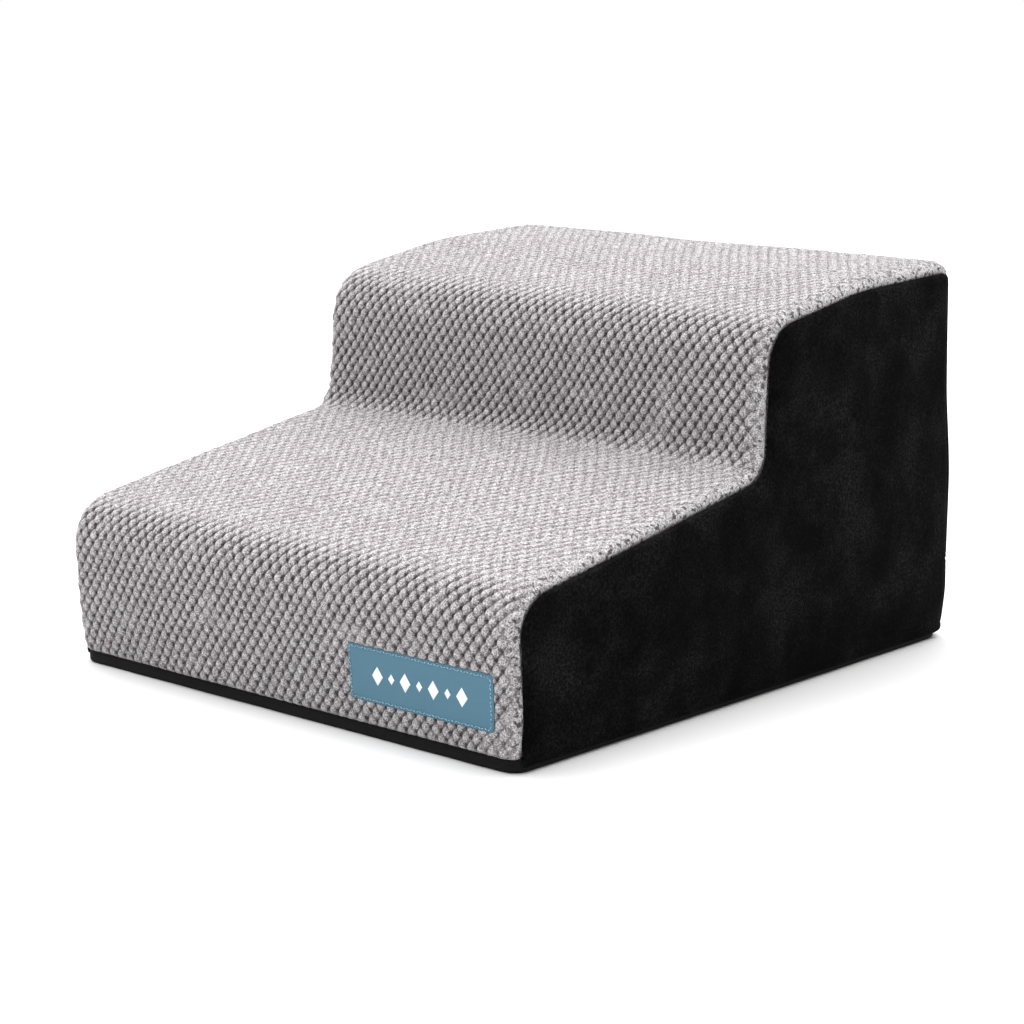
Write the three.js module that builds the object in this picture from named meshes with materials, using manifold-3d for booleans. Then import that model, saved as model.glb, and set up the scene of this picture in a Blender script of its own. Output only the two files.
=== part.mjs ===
// Two-step foam dog ramp with a zipped cover: two sloping treads, for a low sofa or bed.
// Millimetres, +Z up. The origin is the middle of the base, on the floor. The low step faces -Y.
import * as THREE from "three";
import { mergeVertices } from "three/addons/utils/BufferGeometryUtils.js";
import Module from "manifold-3d";

const wasm = await Module();
wasm.setup();

// ---- Overall size ----
const WIDTH = 400; // across the treads, along X
const DEPTH = 460; // front face to back panel, along Y
const HEIGHT = 265; // at the back edge
const GAP = 0.3; // between touching pieces

// ---- Outline of the ramp in side view ----
const FRONT_LEAN = 7; // the front face leans in by this much at the floor
const NOSE_HEIGHT = 110; // where the front face and the lower tread would meet
const TREAD_BACK_Y = 6; // foot of the riser
const TREAD_BACK_Z = 151;
const RISER_TOP_Y = 13; // where the riser and the upper tread would meet
const RISER_TOP_Z = 243;
const CROWN_Y = 120; // the upper tread bends here, flatter behind
const CROWN_Z = 261;
const NOSE_RADIUS = 34;
const FILLET_RADIUS = 17;
const UPPER_NOSE_RADIUS = 37;
const CROWN_RADIUS = 300;
const BACK_TOP_RADIUS = 14;
const EDGE_RADIUS = 14; // round along both sides
const UNDERCUT = 40; // the outline runs below the floor before it is cut off

// ---- Cover ----
const PLUSH = 4; // tread fabric with its pile
const SUEDE = 3; // side and back panels with their backing
const CURL = THREE.MathUtils.degToRad(65); // how far the tread fabric turns down at the sides
const CURL_GAP = THREE.MathUtils.degToRad(1.5);
const BACK_CURL = THREE.MathUtils.degToRad(70); // how far it turns down at the back
const TOP_SEAM = 1.2; // between it and the back panel
const BASE_CORNER = 18; // corner radius of the base in plan
const BAND_HEIGHT = 8.5;
const BAND_THICK = 3.2;
const BAND_ROUND = 1.2;
const BAND_LIFT = 0.2;
const BOTTOM_THICK = 2;

// ---- Foam ----
const FOAM_SIDE = SUEDE + 0.5; // from the side face to the foam
const FOAM_TOP = PLUSH + 0.5;
const FOAM_BACK = 6.5; // leaves room for the zip
const FOAM_EDGE = 18;
const FOAM_LIFT = BOTTOM_THICK + 0.5;
const FOAM_STEP = 3.5; // from the foot of the riser to the upper block
const PAD = 22; // soft layer on each tread

// ---- Zip, along X on the back ----
const ZIP_Z = 56;
const ZIP_HALF = 165; // from the middle to each end stop
const ZIP_OPENING = 11; // between the two back panels
const TAPE_THICK = 0.6;
const TAPE_WIDTH = 14;
const TAPE_PARTING = 1.2; // between the two tapes
const TAPE_END = 8; // tape past each end stop
const COIL_THICK = 2.1;
const COIL_WIDTH = 2.5;
const COIL_PARTING = 1;
const COIL_ROUND = 0.7;
const SLIDER_LENGTH = 11;
const SLIDER_WIDTH = 8.6;
const SLIDER_PLATE = 1;
const SLIDER_MOUTH = 0.72; // its narrow end's share of the width
const SLIDER_TIP = 0.35; // the flat of its round end
const SLIDER_WAIST = 0.1; // where the round end starts, of half the length
const SLIDER_REST = ZIP_HALF - 14; // closed, next to the top stops
const WEDGE_THICK = 0.6;
const WEDGE_LENGTH = 5;
const RAIL_BACK = 2.2;
const RAIL_AHEAD = 1.65;
const FUSE = 0.1; // overlap of solids that are joined into one
const BRIDGE_WIDTH = 1.6;
const BRIDGE_HEIGHT = 1.9;
const BRIDGE_WALL = 0.7;
const BRIDGE_LENGTH = 6;
const PULL_THICK = 0.8;
const PULL_LENGTH = 24;
const PULL_WIDTH = 7;
const PULL_ARM = 1.5;
const PULL_PIN = 0.35; // half the width of the bar under the bridge
const PULL_SWING = 0.15; // under the bar, so that it can turn
const PULL_WINDOW = 4.8;
const PULL_TIP = 4.8; // length of its round end
const STOP_LENGTH = 2.4;
const STOP_ROUND = 0.5;
const TAB_SPACE = 1; // between an end stop and its tab
const TAB_ROUND = 0.6;

// ---- Labels ----
const LABEL = { x: 123, z: 42, width: 118, height: 36, thick: 0.8, round: 2.5 };
const STITCH = { inset: 1.4, width: 0.9, thick: 0.35 };
const CARE = { x: -120, z: 26, width: 22, height: 27, thick: 0.5, round: 0.8 };

// ---- Places worked out from the sizes ----
const PROUD = 2.5; // what the slider stands proud of the back panel, near enough to centre the box
const BACK = (DEPTH + PROUD) / 2 - PROUD; // outer face of the back panel
const FRONT = BACK - DEPTH; // front face at nose height
const SIDE = WIDTH / 2;
const TAPE_FACE = BACK - SUEDE - GAP; // outer face of the tapes
const COIL_BACK = TAPE_FACE + GAP;
const COIL_FACE = COIL_BACK + COIL_THICK;
const PLATE_FACE = COIL_FACE + GAP + SLIDER_PLATE; // outer face of the slider's top plate
const PIN_Y = PLATE_FACE + PULL_THICK / 2 + PULL_SWING;

// ---- Materials ----
const finish = (color, roughness, metalness = 0) =>
  new THREE.MeshStandardMaterial({ color, roughness, metalness });
const plush = finish("#a9a6a8", 1);
const suede = finish("#17171a", 0.95);
const webbing = finish("#0e0e10", 0.8);
const gripCloth = finish("#1b1b1e", 0.9);
const foam = finish("#d9d4c4", 0.9);
const memoryFoam = finish("#b9c6cf", 0.85);
const nylon = finish("#121214", 0.45);
const zinc = finish("#2c2c30", 0.35, 1);
const tealWeave = finish("#4f8197", 0.7);
const thread = finish("#7fa9ba", 0.8);
const satin = finish("#e4e3df", 0.5);

// ---- Geometry helpers ----

// Turns a shape drawn in (y, z) and extruded along its own z, so that it is extruded along X.
const ACROSS = new THREE.Matrix4().makeBasis(
  new THREE.Vector3(0, 1, 0),
  new THREE.Vector3(0, 0, 1),
  new THREE.Vector3(1, 0, 0),
);

// Turns a shape drawn in (x, z) and extruded along its own z, so that it is extruded along Y.
const BACKWARD = new THREE.Matrix4().makeBasis(
  new THREE.Vector3(-1, 0, 0),
  new THREE.Vector3(0, 0, 1),
  new THREE.Vector3(0, 1, 0),
);

function toSolid(geometry) {
  const bare = geometry.index ? geometry.toNonIndexed() : geometry.clone();
  bare.deleteAttribute("normal");
  bare.deleteAttribute("uv");
  const merged = mergeVertices(bare, 1e-4);
  return new wasm.Manifold(
    new wasm.Mesh({
      numProp: 3,
      vertProperties: merged.attributes.position.array,
      triVerts: new Uint32Array(merged.index.array),
    }),
  );
}

function toGeometry(solid) {
  const mesh = solid.getMesh();
  const geometry = new THREE.BufferGeometry();
  geometry.setAttribute("position", new THREE.BufferAttribute(mesh.vertProperties, 3));
  geometry.setIndex(new THREE.BufferAttribute(mesh.triVerts, 1));
  geometry.computeVertexNormals();
  return geometry;
}

const ARC_STEP = THREE.MathUtils.degToRad(11); // turn per chord of a rounded corner

// A corner of an outline: its place and its rounding radius.
const corner = (y, z, radius) => ({ at: new THREE.Vector2(y, z), radius });

// Moves every edge of an outline inwards and keeps the arcs concentric.
function insetOutline(corners, distance) {
  return corners.map((here, i) => {
    const before = corners.at(i - 1).at;
    const after = corners[(i + 1) % corners.length].at;
    const into = here.at.clone().sub(before).normalize();
    const out = after.clone().sub(here.at).normalize();
    const turn = into.cross(out);
    const bisector = new THREE.Vector2(-into.y - out.y, into.x + out.x).normalize();
    const reach = distance / bisector.dot(new THREE.Vector2(-into.y, into.x));
    const radius = here.radius - Math.sign(turn) * distance;
    return { at: here.at.clone().addScaledVector(bisector, reach), radius: Math.max(radius, 0.2) };
  });
}

// The points of an outline, each corner an arc of short chords.
function outlinePoints(corners) {
  const points = [];
  corners.forEach((here, i) => {
    const before = corners.at(i - 1).at;
    const after = corners[(i + 1) % corners.length].at;
    const back = before.clone().sub(here.at).normalize();
    const on = after.clone().sub(here.at).normalize();
    const opening = Math.acos(THREE.MathUtils.clamp(back.dot(on), -1, 1));
    const tangent = here.radius / Math.tan(opening / 2);
    const centre = back.clone().add(on).normalize();
    centre.multiplyScalar(here.radius / Math.sin(opening / 2)).add(here.at);
    const start = here.at.clone().addScaledVector(back, tangent);
    const sweep = Math.PI - opening;
    const way = Math.sign(on.cross(back));
    const count = Math.ceil(sweep / ARC_STEP) + 1;
    for (let k = 0; k <= count; k++) {
      points.push(start.clone().rotateAround(centre, way * sweep * (k / count)));
    }
  });
  return points;
}

// Outline of the whole ramp in side view, run on below the floor.
const OUTLINE = [
  corner(FRONT + FRONT_LEAN * (1 + UNDERCUT / NOSE_HEIGHT), -UNDERCUT, 2),
  corner(BACK, -UNDERCUT, 2),
  corner(BACK, HEIGHT, BACK_TOP_RADIUS),
  corner(CROWN_Y, CROWN_Z, CROWN_RADIUS),
  corner(RISER_TOP_Y, RISER_TOP_Z, UPPER_NOSE_RADIUS),
  corner(TREAD_BACK_Y, TREAD_BACK_Z, FILLET_RADIUS),
  corner(FRONT, NOSE_HEIGHT, NOSE_RADIUS),
];

// The ramp's body with round side edges: the outline, drawn in by the edge's radius, grows to
// full size over the bevel and back again.
function roundedBody(corners, halfWidth, edge) {
  const core = new THREE.Shape(outlinePoints(insetOutline(corners, edge)));
  const geometry = new THREE.ExtrudeGeometry(core, {
    depth: 2 * (halfWidth - edge),
    bevelSize: edge,
    bevelThickness: edge,
    bevelSegments: 5,
  });
  geometry.translate(0, 0, edge - halfWidth);
  return toSolid(geometry.applyMatrix4(ACROSS));
}

// A prism across the full width, used to cut the body into pieces. Points are [y, z].
function prism(points, x0 = -SIDE - 10, x1 = SIDE + 10) {
  const shape = new THREE.Shape(points.map(([y, z]) => new THREE.Vector2(y, z)));
  const geometry = new THREE.ExtrudeGeometry(shape, { depth: x1 - x0, bevelEnabled: false });
  geometry.translate(0, 0, x0);
  return toSolid(geometry.applyMatrix4(ACROSS));
}

const block = (x0, x1, y0, y1, z0, z1) => {
  const geometry = new THREE.BoxGeometry(x1 - x0, y1 - y0, z1 - z0);
  geometry.translate((x0 + x1) / 2, (y0 + y1) / 2, (z0 + z1) / 2);
  return toSolid(geometry);
};

function roundedRectangle(width, height, radius) {
  const shape = new THREE.Shape();
  const w = width / 2;
  const h = height / 2;
  shape.moveTo(-w + radius, -h);
  shape.lineTo(w - radius, -h);
  shape.absarc(w - radius, -h + radius, radius, -Math.PI / 2, 0);
  shape.lineTo(w, h - radius);
  shape.absarc(w - radius, h - radius, radius, 0, Math.PI / 2);
  shape.lineTo(-w + radius, h);
  shape.absarc(-w + radius, h - radius, radius, Math.PI / 2, Math.PI);
  shape.lineTo(-w, -h + radius);
  shape.absarc(-w + radius, -h + radius, radius, Math.PI, Math.PI * 1.5);
  return shape;
}

const ramp = new THREE.Group();

function addPiece(name, geometry, material, parent = ramp) {
  const mesh = new THREE.Mesh(geometry, material);
  mesh.name = name;
  parent.add(mesh);
  return mesh;
}

// ---- Foam: one cut body, sliced into two support blocks and two soft tread pads ----
{
  const inner = insetOutline(OUTLINE, FOAM_TOP);
  const rear = BACK - FOAM_BACK;
  inner[1].at.x = rear;
  inner[2].at.x = rear;
  const body = roundedBody(inner, SIDE - FOAM_SIDE, FOAM_EDGE);
  const riser = TREAD_BACK_Y + FOAM_STEP;
  const lowSlope = (TREAD_BACK_Z - NOSE_HEIGHT) / (TREAD_BACK_Y - FRONT);
  const topSlope = (CROWN_Z - RISER_TOP_Z) / (CROWN_Y - RISER_TOP_Y);
  const backSlope = (HEIGHT - CROWN_Z) / (BACK - CROWN_Y);
  const lowLine = (y) => NOSE_HEIGHT - FOAM_TOP - PAD + lowSlope * (y - FRONT);
  const topLine = (y) => {
    const rise = y < CROWN_Y ? topSlope : backSlope;
    return CROWN_Z - FOAM_TOP - PAD + rise * (y - CROWN_Y);
  };
  const ahead = FRONT - 10;
  const behind = BACK + 10;
  const over = HEIGHT + 10;
  const joint = lowLine(riser);
  const slices = {
    base_foam_block: [
      [ahead, FOAM_LIFT], [behind, FOAM_LIFT], [behind, joint], [riser, joint], [ahead, lowLine(ahead)],
    ],
    lower_tread_memory_foam: [
      [ahead, lowLine(ahead) + GAP], [riser - GAP, joint + GAP], [riser - GAP, over], [ahead, over],
    ],
    upper_step_foam_block: [
      [riser, joint + GAP], [behind, joint + GAP], [behind, topLine(behind)],
      [CROWN_Y, topLine(CROWN_Y)], [riser, topLine(riser)],
    ],
    upper_tread_memory_foam: [
      [riser, topLine(riser) + GAP], [CROWN_Y, topLine(CROWN_Y) + GAP],
      [behind, topLine(behind) + GAP], [behind, over], [riser, over],
    ],
  };
  for (const [name, points] of Object.entries(slices)) {
    const piece = body.intersect(prism(points));
    addPiece(name, toGeometry(piece), name.includes("memory") ? memoryFoam : foam);
  }
}

// ---- Cover: tread fabric, one strip from the front hem over both steps to the back edge ----

// A curve that passes through given stations and has one step of the extrusion for each.
class StationCurve extends THREE.Curve {
  constructor(stations) {
    super();
    this.stations = stations;
  }
  getPoint(t) {
    const last = this.stations.length - 1;
    const i = Math.min(Math.floor(t * last + 1e-9), last - 1);
    return this.stations[i].clone().lerp(this.stations[i + 1], t * last - i);
  }
  getPointAt(u) {
    return this.getPoint(u);
  }
  getTangentAt(u) {
    const step = 1 / (this.stations.length - 1);
    const ahead = this.getPoint(Math.min(u + step / 2, 1));
    return ahead.sub(this.getPoint(Math.max(u - step / 2, 0))).normalize();
  }
}

const BAND_TOP = BAND_LIFT + BAND_HEIGHT;
{
  const frontAt = (z) => FRONT + FRONT_LEAN * (1 - z / NOSE_HEIGHT);
  const points = outlinePoints(OUTLINE).reverse();
  const centreZ = HEIGHT - BACK_TOP_RADIUS;
  const lowest = centreZ + BACK_TOP_RADIUS * Math.cos(BACK_CURL);
  const hem = BAND_TOP + GAP;
  const kept = points.filter((p) => p.y > hem && !(p.x > BACK - 0.5 * BACK_TOP_RADIUS && p.y < lowest));
  const stations = [new THREE.Vector2(frontAt(hem), hem), ...kept];
  const path = new StationCurve(stations.map((p) => new THREE.Vector3(0, p.x, p.y)));
  const flat = SIDE - EDGE_RADIUS;
  const section = new THREE.Shape();
  const sweep = CURL - CURL_GAP;
  const inner = EDGE_RADIUS - PLUSH;
  section.absarc(flat, -EDGE_RADIUS, EDGE_RADIUS, Math.PI / 2 - sweep, Math.PI / 2);
  section.absarc(-flat, -EDGE_RADIUS, EDGE_RADIUS, Math.PI / 2, Math.PI / 2 + sweep);
  section.absarc(-flat, -EDGE_RADIUS, inner, Math.PI / 2 + sweep, Math.PI / 2, true);
  section.absarc(flat, -EDGE_RADIUS, inner, Math.PI / 2, Math.PI / 2 - sweep, true);
  const strip = new THREE.ExtrudeGeometry(section, {
    extrudePath: path,
    steps: stations.length - 1,
    curveSegments: 5,
  });
  addPiece("cover_tread_panel", strip, plush);
}

// ---- Cover: side and back panels, cut from a shell that follows the round edges ----
{
  const shell = roundedBody(OUTLINE, SIDE, EDGE_RADIUS).subtract(
    roundedBody(insetOutline(OUTLINE, SUEDE), SIDE - SUEDE, EDGE_RADIUS - SUEDE),
  );
  const hem = BAND_TOP + GAP;
  const over = HEIGHT + 10;
  const seam = SIDE - EDGE_RADIUS * (1 - Math.sin(CURL));
  const sides = { cover_side_panel_left: -1, cover_side_panel_right: 1 };
  for (const [name, way] of Object.entries(sides)) {
    const x0 = way > 0 ? seam + GAP : -SIDE - 10;
    const x1 = way > 0 ? SIDE + 10 : -seam - GAP;
    const region = block(x0, x1, FRONT - 10, BACK + 10, hem, over);
    addPiece(name, toGeometry(shell.intersect(region)), suede);
  }
  const topSeam = HEIGHT - BACK_TOP_RADIUS + (BACK_TOP_RADIUS - PLUSH) * Math.cos(BACK_CURL) - TOP_SEAM;
  const zipTop = ZIP_Z + ZIP_OPENING / 2;
  const zipFoot = ZIP_Z - ZIP_OPENING / 2;
  const rows = { cover_back_panel_upper: [zipTop, topSeam], cover_back_panel_lower: [hem, zipFoot] };
  for (const [name, [z0, z1]] of Object.entries(rows)) {
    const region = block(-seam, seam, BACK - EDGE_RADIUS / 2, BACK + 10, z0, z1);
    addPiece(name, toGeometry(shell.intersect(region)), suede);
  }
}

// ---- Cover: base band and grip bottom ----
{
  const base = DEPTH - FRONT_LEAN;
  const middle = BACK - base / 2;
  const ring = roundedRectangle(WIDTH - 2 * BAND_ROUND, base - 2 * BAND_ROUND, BASE_CORNER - BAND_ROUND);
  const inset = 2 * (BAND_THICK - BAND_ROUND);
  const innerCorner = BASE_CORNER - BAND_THICK + BAND_ROUND;
  const hole = roundedRectangle(WIDTH - inset, base - inset, innerCorner + BAND_ROUND);
  ring.holes.push(hole);
  const band = new THREE.ExtrudeGeometry(ring, {
    depth: BAND_HEIGHT - 2 * BAND_ROUND,
    bevelSize: BAND_ROUND,
    bevelThickness: BAND_ROUND,
    bevelSegments: 2,
    curveSegments: 6,
  });
  band.translate(0, middle, BAND_LIFT + BAND_ROUND);
  addPiece("base_band", band, webbing);

  const shrink = 2 * (BAND_THICK + 2 * BAND_ROUND + GAP);
  const plate = roundedRectangle(WIDTH - shrink, base - shrink, BASE_CORNER - shrink / 2);
  const bottom = new THREE.ExtrudeGeometry(plate, {
    depth: BOTTOM_THICK,
    bevelEnabled: false,
    curveSegments: 6,
  });
  addPiece("cover_grip_bottom", bottom.translate(0, middle, 0), gripCloth);
}

// ---- Zip: tapes, coils and end pieces ----
for (const [side, way] of [["upper", 1], ["lower", -1]]) {
  const tape = new THREE.BoxGeometry(2 * (ZIP_HALF + TAPE_END), TAPE_THICK, TAPE_WIDTH);
  const tapeZ = ZIP_Z + (way * (TAPE_PARTING + TAPE_WIDTH)) / 2;
  addPiece(`zip_tape_${side}`, tape, nylon).position.set(0, TAPE_FACE - TAPE_THICK / 2, tapeZ);
  const coilShape = roundedRectangle(COIL_THICK, COIL_WIDTH, COIL_ROUND);
  const coil = new THREE.ExtrudeGeometry(coilShape, {
    depth: 2 * ZIP_HALF,
    bevelEnabled: false,
    curveSegments: 2,
  });
  coil.applyMatrix4(ACROSS).translate(-ZIP_HALF, 0, 0);
  const coilZ = ZIP_Z + (way * (COIL_PARTING + COIL_WIDTH)) / 2;
  const piece = addPiece(`zip_coil_${side}`, coil, nylon);
  piece.position.set(0, (COIL_BACK + COIL_FACE) / 2, coilZ);
}

{
  const stopShape = roundedRectangle(STOP_LENGTH, 2 * COIL_WIDTH + COIL_PARTING, STOP_ROUND);
  const stop = new THREE.ExtrudeGeometry(stopShape, {
    depth: COIL_THICK,
    bevelEnabled: false,
    curveSegments: 2,
  });
  stop.applyMatrix4(BACKWARD);
  const reach = ZIP_HALF + GAP + STOP_LENGTH / 2;
  addPiece("zip_bottom_stop", stop, zinc).position.set(-reach, COIL_BACK, ZIP_Z);
  addPiece("zip_top_stop", stop, zinc).position.set(reach, COIL_BACK, ZIP_Z);

  const tabLength = SIDE - EDGE_RADIUS - reach - STOP_LENGTH - TAB_SPACE;
  const tabShape = roundedRectangle(tabLength, ZIP_OPENING - 2 * GAP, TAB_ROUND);
  const tab = new THREE.ExtrudeGeometry(tabShape, {
    depth: SUEDE - 2 * GAP,
    bevelEnabled: false,
    curveSegments: 2,
  });
  tab.applyMatrix4(BACKWARD);
  const tabX = reach + STOP_LENGTH / 2 + TAB_SPACE + tabLength / 2;
  for (const [name, way] of [["zip_end_tab_left", -1], ["zip_end_tab_right", 1]]) {
    addPiece(name, tab, suede).position.set(way * tabX, TAPE_FACE + GAP, ZIP_Z);
  }
}

// ---- Zip slider, in a group at its closed place: two plates, a wedge between, rails, a bridge ----
const slider = new THREE.Group();
slider.position.set(SLIDER_REST, 0, ZIP_Z);
ramp.add(slider);
{
  const half = SLIDER_WIDTH / 2;
  const long = SLIDER_LENGTH / 2;
  const outline = new THREE.Shape();
  outline.moveTo(-long, -half * SLIDER_MOUTH);
  outline.lineTo(long * SLIDER_WAIST, -half);
  outline.quadraticCurveTo(long, -half, long, -half * SLIDER_TIP);
  outline.lineTo(long, half * SLIDER_TIP);
  outline.quadraticCurveTo(long, half, long * SLIDER_WAIST, half);
  outline.lineTo(-long, half * SLIDER_MOUTH);
  outline.closePath();
  const plate = (y0, y1) => {
    const geometry = new THREE.ExtrudeGeometry(outline, {
      depth: y1 - y0,
      bevelEnabled: false,
      curveSegments: 5,
    });
    return toSolid(geometry.applyMatrix4(BACKWARD).translate(0, y0, 0));
  };
  const under = TAPE_FACE - TAPE_THICK - GAP;
  const over = COIL_FACE + GAP;
  const railFoot = TAPE_FACE + GAP;
  const railWidth = half - COIL_WIDTH - COIL_PARTING / 2 - GAP;
  let body = plate(over, PLATE_FACE).add(plate(under - SLIDER_PLATE, under));
  const wedge = block(
    -WEDGE_LENGTH / 2, WEDGE_LENGTH / 2, under - FUSE, over + FUSE, -WEDGE_THICK / 2, WEDGE_THICK / 2,
  );
  body = body.add(wedge);
  for (const way of [-1, 1]) {
    const z0 = way > 0 ? half - railWidth : -half;
    const rail = block(-RAIL_BACK, RAIL_AHEAD, railFoot, over + FUSE, z0, z0 + railWidth);
    body = body.add(rail);
  }
  const top = BRIDGE_HEIGHT;
  const run = BRIDGE_LENGTH / 2;
  const arch = new THREE.Shape();
  arch.moveTo(-run, -FUSE);
  arch.lineTo(-run, top * 0.5);
  arch.quadraticCurveTo(-run, top, -run * 0.5, top);
  arch.lineTo(run * 0.5, top);
  arch.quadraticCurveTo(run, top, run, top * 0.5);
  arch.lineTo(run, -FUSE);
  arch.lineTo(run - BRIDGE_WALL, -FUSE);
  arch.lineTo(run - BRIDGE_WALL, top - BRIDGE_WALL);
  arch.lineTo(BRIDGE_WALL - run, top - BRIDGE_WALL);
  arch.lineTo(BRIDGE_WALL - run, -FUSE);
  arch.closePath();
  const bridge = new THREE.ExtrudeGeometry(arch, {
    depth: BRIDGE_WIDTH,
    bevelEnabled: false,
    curveSegments: 3,
  });
  bridge.translate(0, PLATE_FACE, -BRIDGE_WIDTH / 2);
  body = body.add(toSolid(bridge));
  addPiece("zip_slider", toGeometry(body), zinc, slider);
}

// ---- Pull tab: a plate whose end bar turns under the bridge. It lies along the closed zip ----
{
  const half = PULL_WIDTH / 2;
  const window = new THREE.Path();
  window.moveTo(PULL_PIN, -half + PULL_ARM);
  window.lineTo(PULL_PIN, half - PULL_ARM);
  window.lineTo(PULL_WINDOW, half - PULL_ARM);
  window.lineTo(PULL_WINDOW, -half + PULL_ARM);
  window.closePath();
  const outline = new THREE.Shape();
  outline.moveTo(-PULL_PIN, -half);
  outline.lineTo(PULL_LENGTH - PULL_TIP, -half);
  outline.quadraticCurveTo(PULL_LENGTH, -half, PULL_LENGTH, 0);
  outline.quadraticCurveTo(PULL_LENGTH, half, PULL_LENGTH - PULL_TIP, half);
  outline.lineTo(-PULL_PIN, half);
  outline.closePath();
  outline.holes.push(window);
  const tab = new THREE.ExtrudeGeometry(outline, {
    depth: PULL_THICK,
    bevelEnabled: false,
    curveSegments: 5,
  });
  tab.translate(0, 0, -PULL_THICK / 2).applyMatrix4(BACKWARD);
  addPiece("zip_pull_tab", tab, zinc, slider).position.set(0, PIN_Y, 0);
}

// ---- Labels: a woven label with its stitching on the front face, a care label on the back ----
{
  const lean = Math.atan(FRONT_LEAN / NOSE_HEIGHT);
  const place = new THREE.Group();
  place.position.set(LABEL.x, FRONT + FRONT_LEAN * (1 - LABEL.z / NOSE_HEIGHT), LABEL.z);
  place.rotation.x = lean;
  ramp.add(place);
  const faceShape = roundedRectangle(LABEL.width, LABEL.height, LABEL.round);
  const face = new THREE.ExtrudeGeometry(faceShape, {
    depth: LABEL.thick,
    bevelEnabled: false,
    curveSegments: 4,
  });
  face.applyMatrix4(BACKWARD);
  addPiece("woven_label", face, tealWeave, place).position.y = -GAP - LABEL.thick;

  const outer = LABEL.width - 2 * STITCH.inset;
  const tall = LABEL.height - 2 * STITCH.inset;
  const seamShape = roundedRectangle(outer, tall, LABEL.round - STITCH.width / 2);
  const seamHole = roundedRectangle(outer - 2 * STITCH.width, tall - 2 * STITCH.width, LABEL.round / 2);
  seamShape.holes.push(seamHole);
  const seam = new THREE.ExtrudeGeometry(seamShape, {
    depth: STITCH.thick,
    bevelEnabled: false,
    curveSegments: 4,
  });
  seam.applyMatrix4(BACKWARD);
  const seamDepth = 2 * GAP + LABEL.thick + STITCH.thick;
  addPiece("label_stitching", seam, thread, place).position.y = -seamDepth;

  const care = new THREE.ExtrudeGeometry(roundedRectangle(CARE.width, CARE.height, CARE.round), {
    depth: CARE.thick,
    bevelEnabled: false,
    curveSegments: 2,
  });
  care.applyMatrix4(BACKWARD);
  addPiece("care_label", care, satin).position.set(CARE.x, BACK + GAP, CARE.z);
}

export default ramp;
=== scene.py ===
"""The looks of a two-step foam dog ramp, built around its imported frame. Lengths are in metres."""

import itertools
import math

import bpy
import numpy as np
from bpy.props import FloatProperty, FloatVectorProperty, IntProperty
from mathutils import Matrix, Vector


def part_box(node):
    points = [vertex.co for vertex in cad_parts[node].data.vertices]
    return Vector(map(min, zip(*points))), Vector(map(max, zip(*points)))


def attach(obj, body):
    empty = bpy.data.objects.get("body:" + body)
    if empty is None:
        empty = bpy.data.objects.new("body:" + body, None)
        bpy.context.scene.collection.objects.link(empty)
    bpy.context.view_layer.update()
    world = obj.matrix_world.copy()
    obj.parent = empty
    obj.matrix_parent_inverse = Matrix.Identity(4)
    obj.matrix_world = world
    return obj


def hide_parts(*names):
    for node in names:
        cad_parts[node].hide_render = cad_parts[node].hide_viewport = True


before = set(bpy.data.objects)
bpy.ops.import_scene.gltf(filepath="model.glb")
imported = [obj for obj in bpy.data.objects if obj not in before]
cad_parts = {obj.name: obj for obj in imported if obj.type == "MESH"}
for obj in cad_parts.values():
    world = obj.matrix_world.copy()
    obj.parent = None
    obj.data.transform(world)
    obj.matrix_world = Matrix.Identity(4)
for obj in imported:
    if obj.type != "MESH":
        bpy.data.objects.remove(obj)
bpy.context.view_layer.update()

bl_info = {
    "name": "Foam dog ramp",
    "version": (1, 0, 0),
    "blender": (4, 5, 0),
    "location": "3D View > Sidebar > Dog ramp",
    "description": "Builds the cover, zip, labels and stage of a two-step foam dog ramp",
    "category": "Object",
}

MM = 0.001
CATEGORY = "Dog ramp"

# ---- Places read from the frame ----

SIDE_LOW, SIDE_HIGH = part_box("cover_side_panel_right")
BACK_LOW, BACK_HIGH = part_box("cover_back_panel_upper")
FOOT_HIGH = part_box("cover_back_panel_lower")[1]
BAND_LOW, BAND_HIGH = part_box("base_band")
LABEL_LOW, LABEL_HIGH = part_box("woven_label")
CARE_LOW, CARE_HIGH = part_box("care_label")
COIL_LOW, COIL_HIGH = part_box("zip_coil_upper")
TAPE_LOW, TAPE_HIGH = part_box("zip_tape_upper")

SIDE = SIDE_HIGH.x  # outer face of the side panels
BACK = BACK_HIGH.y  # outer face of the back panels
FRONT = BACK - 460 * MM  # front face at nose height
HEM = SIDE_LOW.z  # lower edge of every upright panel's plain form
SEWN_FOOT = 3.9 * MM  # the suede is drawn down over the binding to here
ZIP_Z = (BACK_LOW.z + FOOT_HIGH.z) / 2  # middle of the zip
LEAN = 7 * MM  # the front face leans in by this much at the floor
EDGE = 14 * MM  # round along both sides
CURL = math.radians(65)  # how far the tread fabric turns down at the sides
BACK_CURL = math.radians(70)  # and at the back's top edge
TUCK = math.radians(8)  # how much further it goes in behind the side seam
SEAM_INSET = EDGE * (1 - math.cos(CURL))  # the side seam lies this far inside the outline
UNDERCUT = 40 * MM  # the outline below runs on this far under the floor
NOSE_Z = 110 * MM  # top of the front face
FOLD_TO_STITCH = 3.2 * MM  # from the zip's folds to their topstitching
ACROSS, REARWARD, UPWARD = np.eye(3)

# Corners of the ramp in side view: y, z and rounding radius, front foot first, then anticlockwise.
OUTLINE = np.array([
    (FRONT + LEAN * (1 + UNDERCUT / NOSE_Z), -UNDERCUT, 2 * MM),
    (BACK, -UNDERCUT, 2 * MM),
    (BACK, 265 * MM, 14 * MM),
    (120 * MM, 261 * MM, 300 * MM),
    (13 * MM, 243 * MM, 37 * MM),
    (6 * MM, 151 * MM, 17 * MM),
    (FRONT, NOSE_Z, 34 * MM),
])


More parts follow.
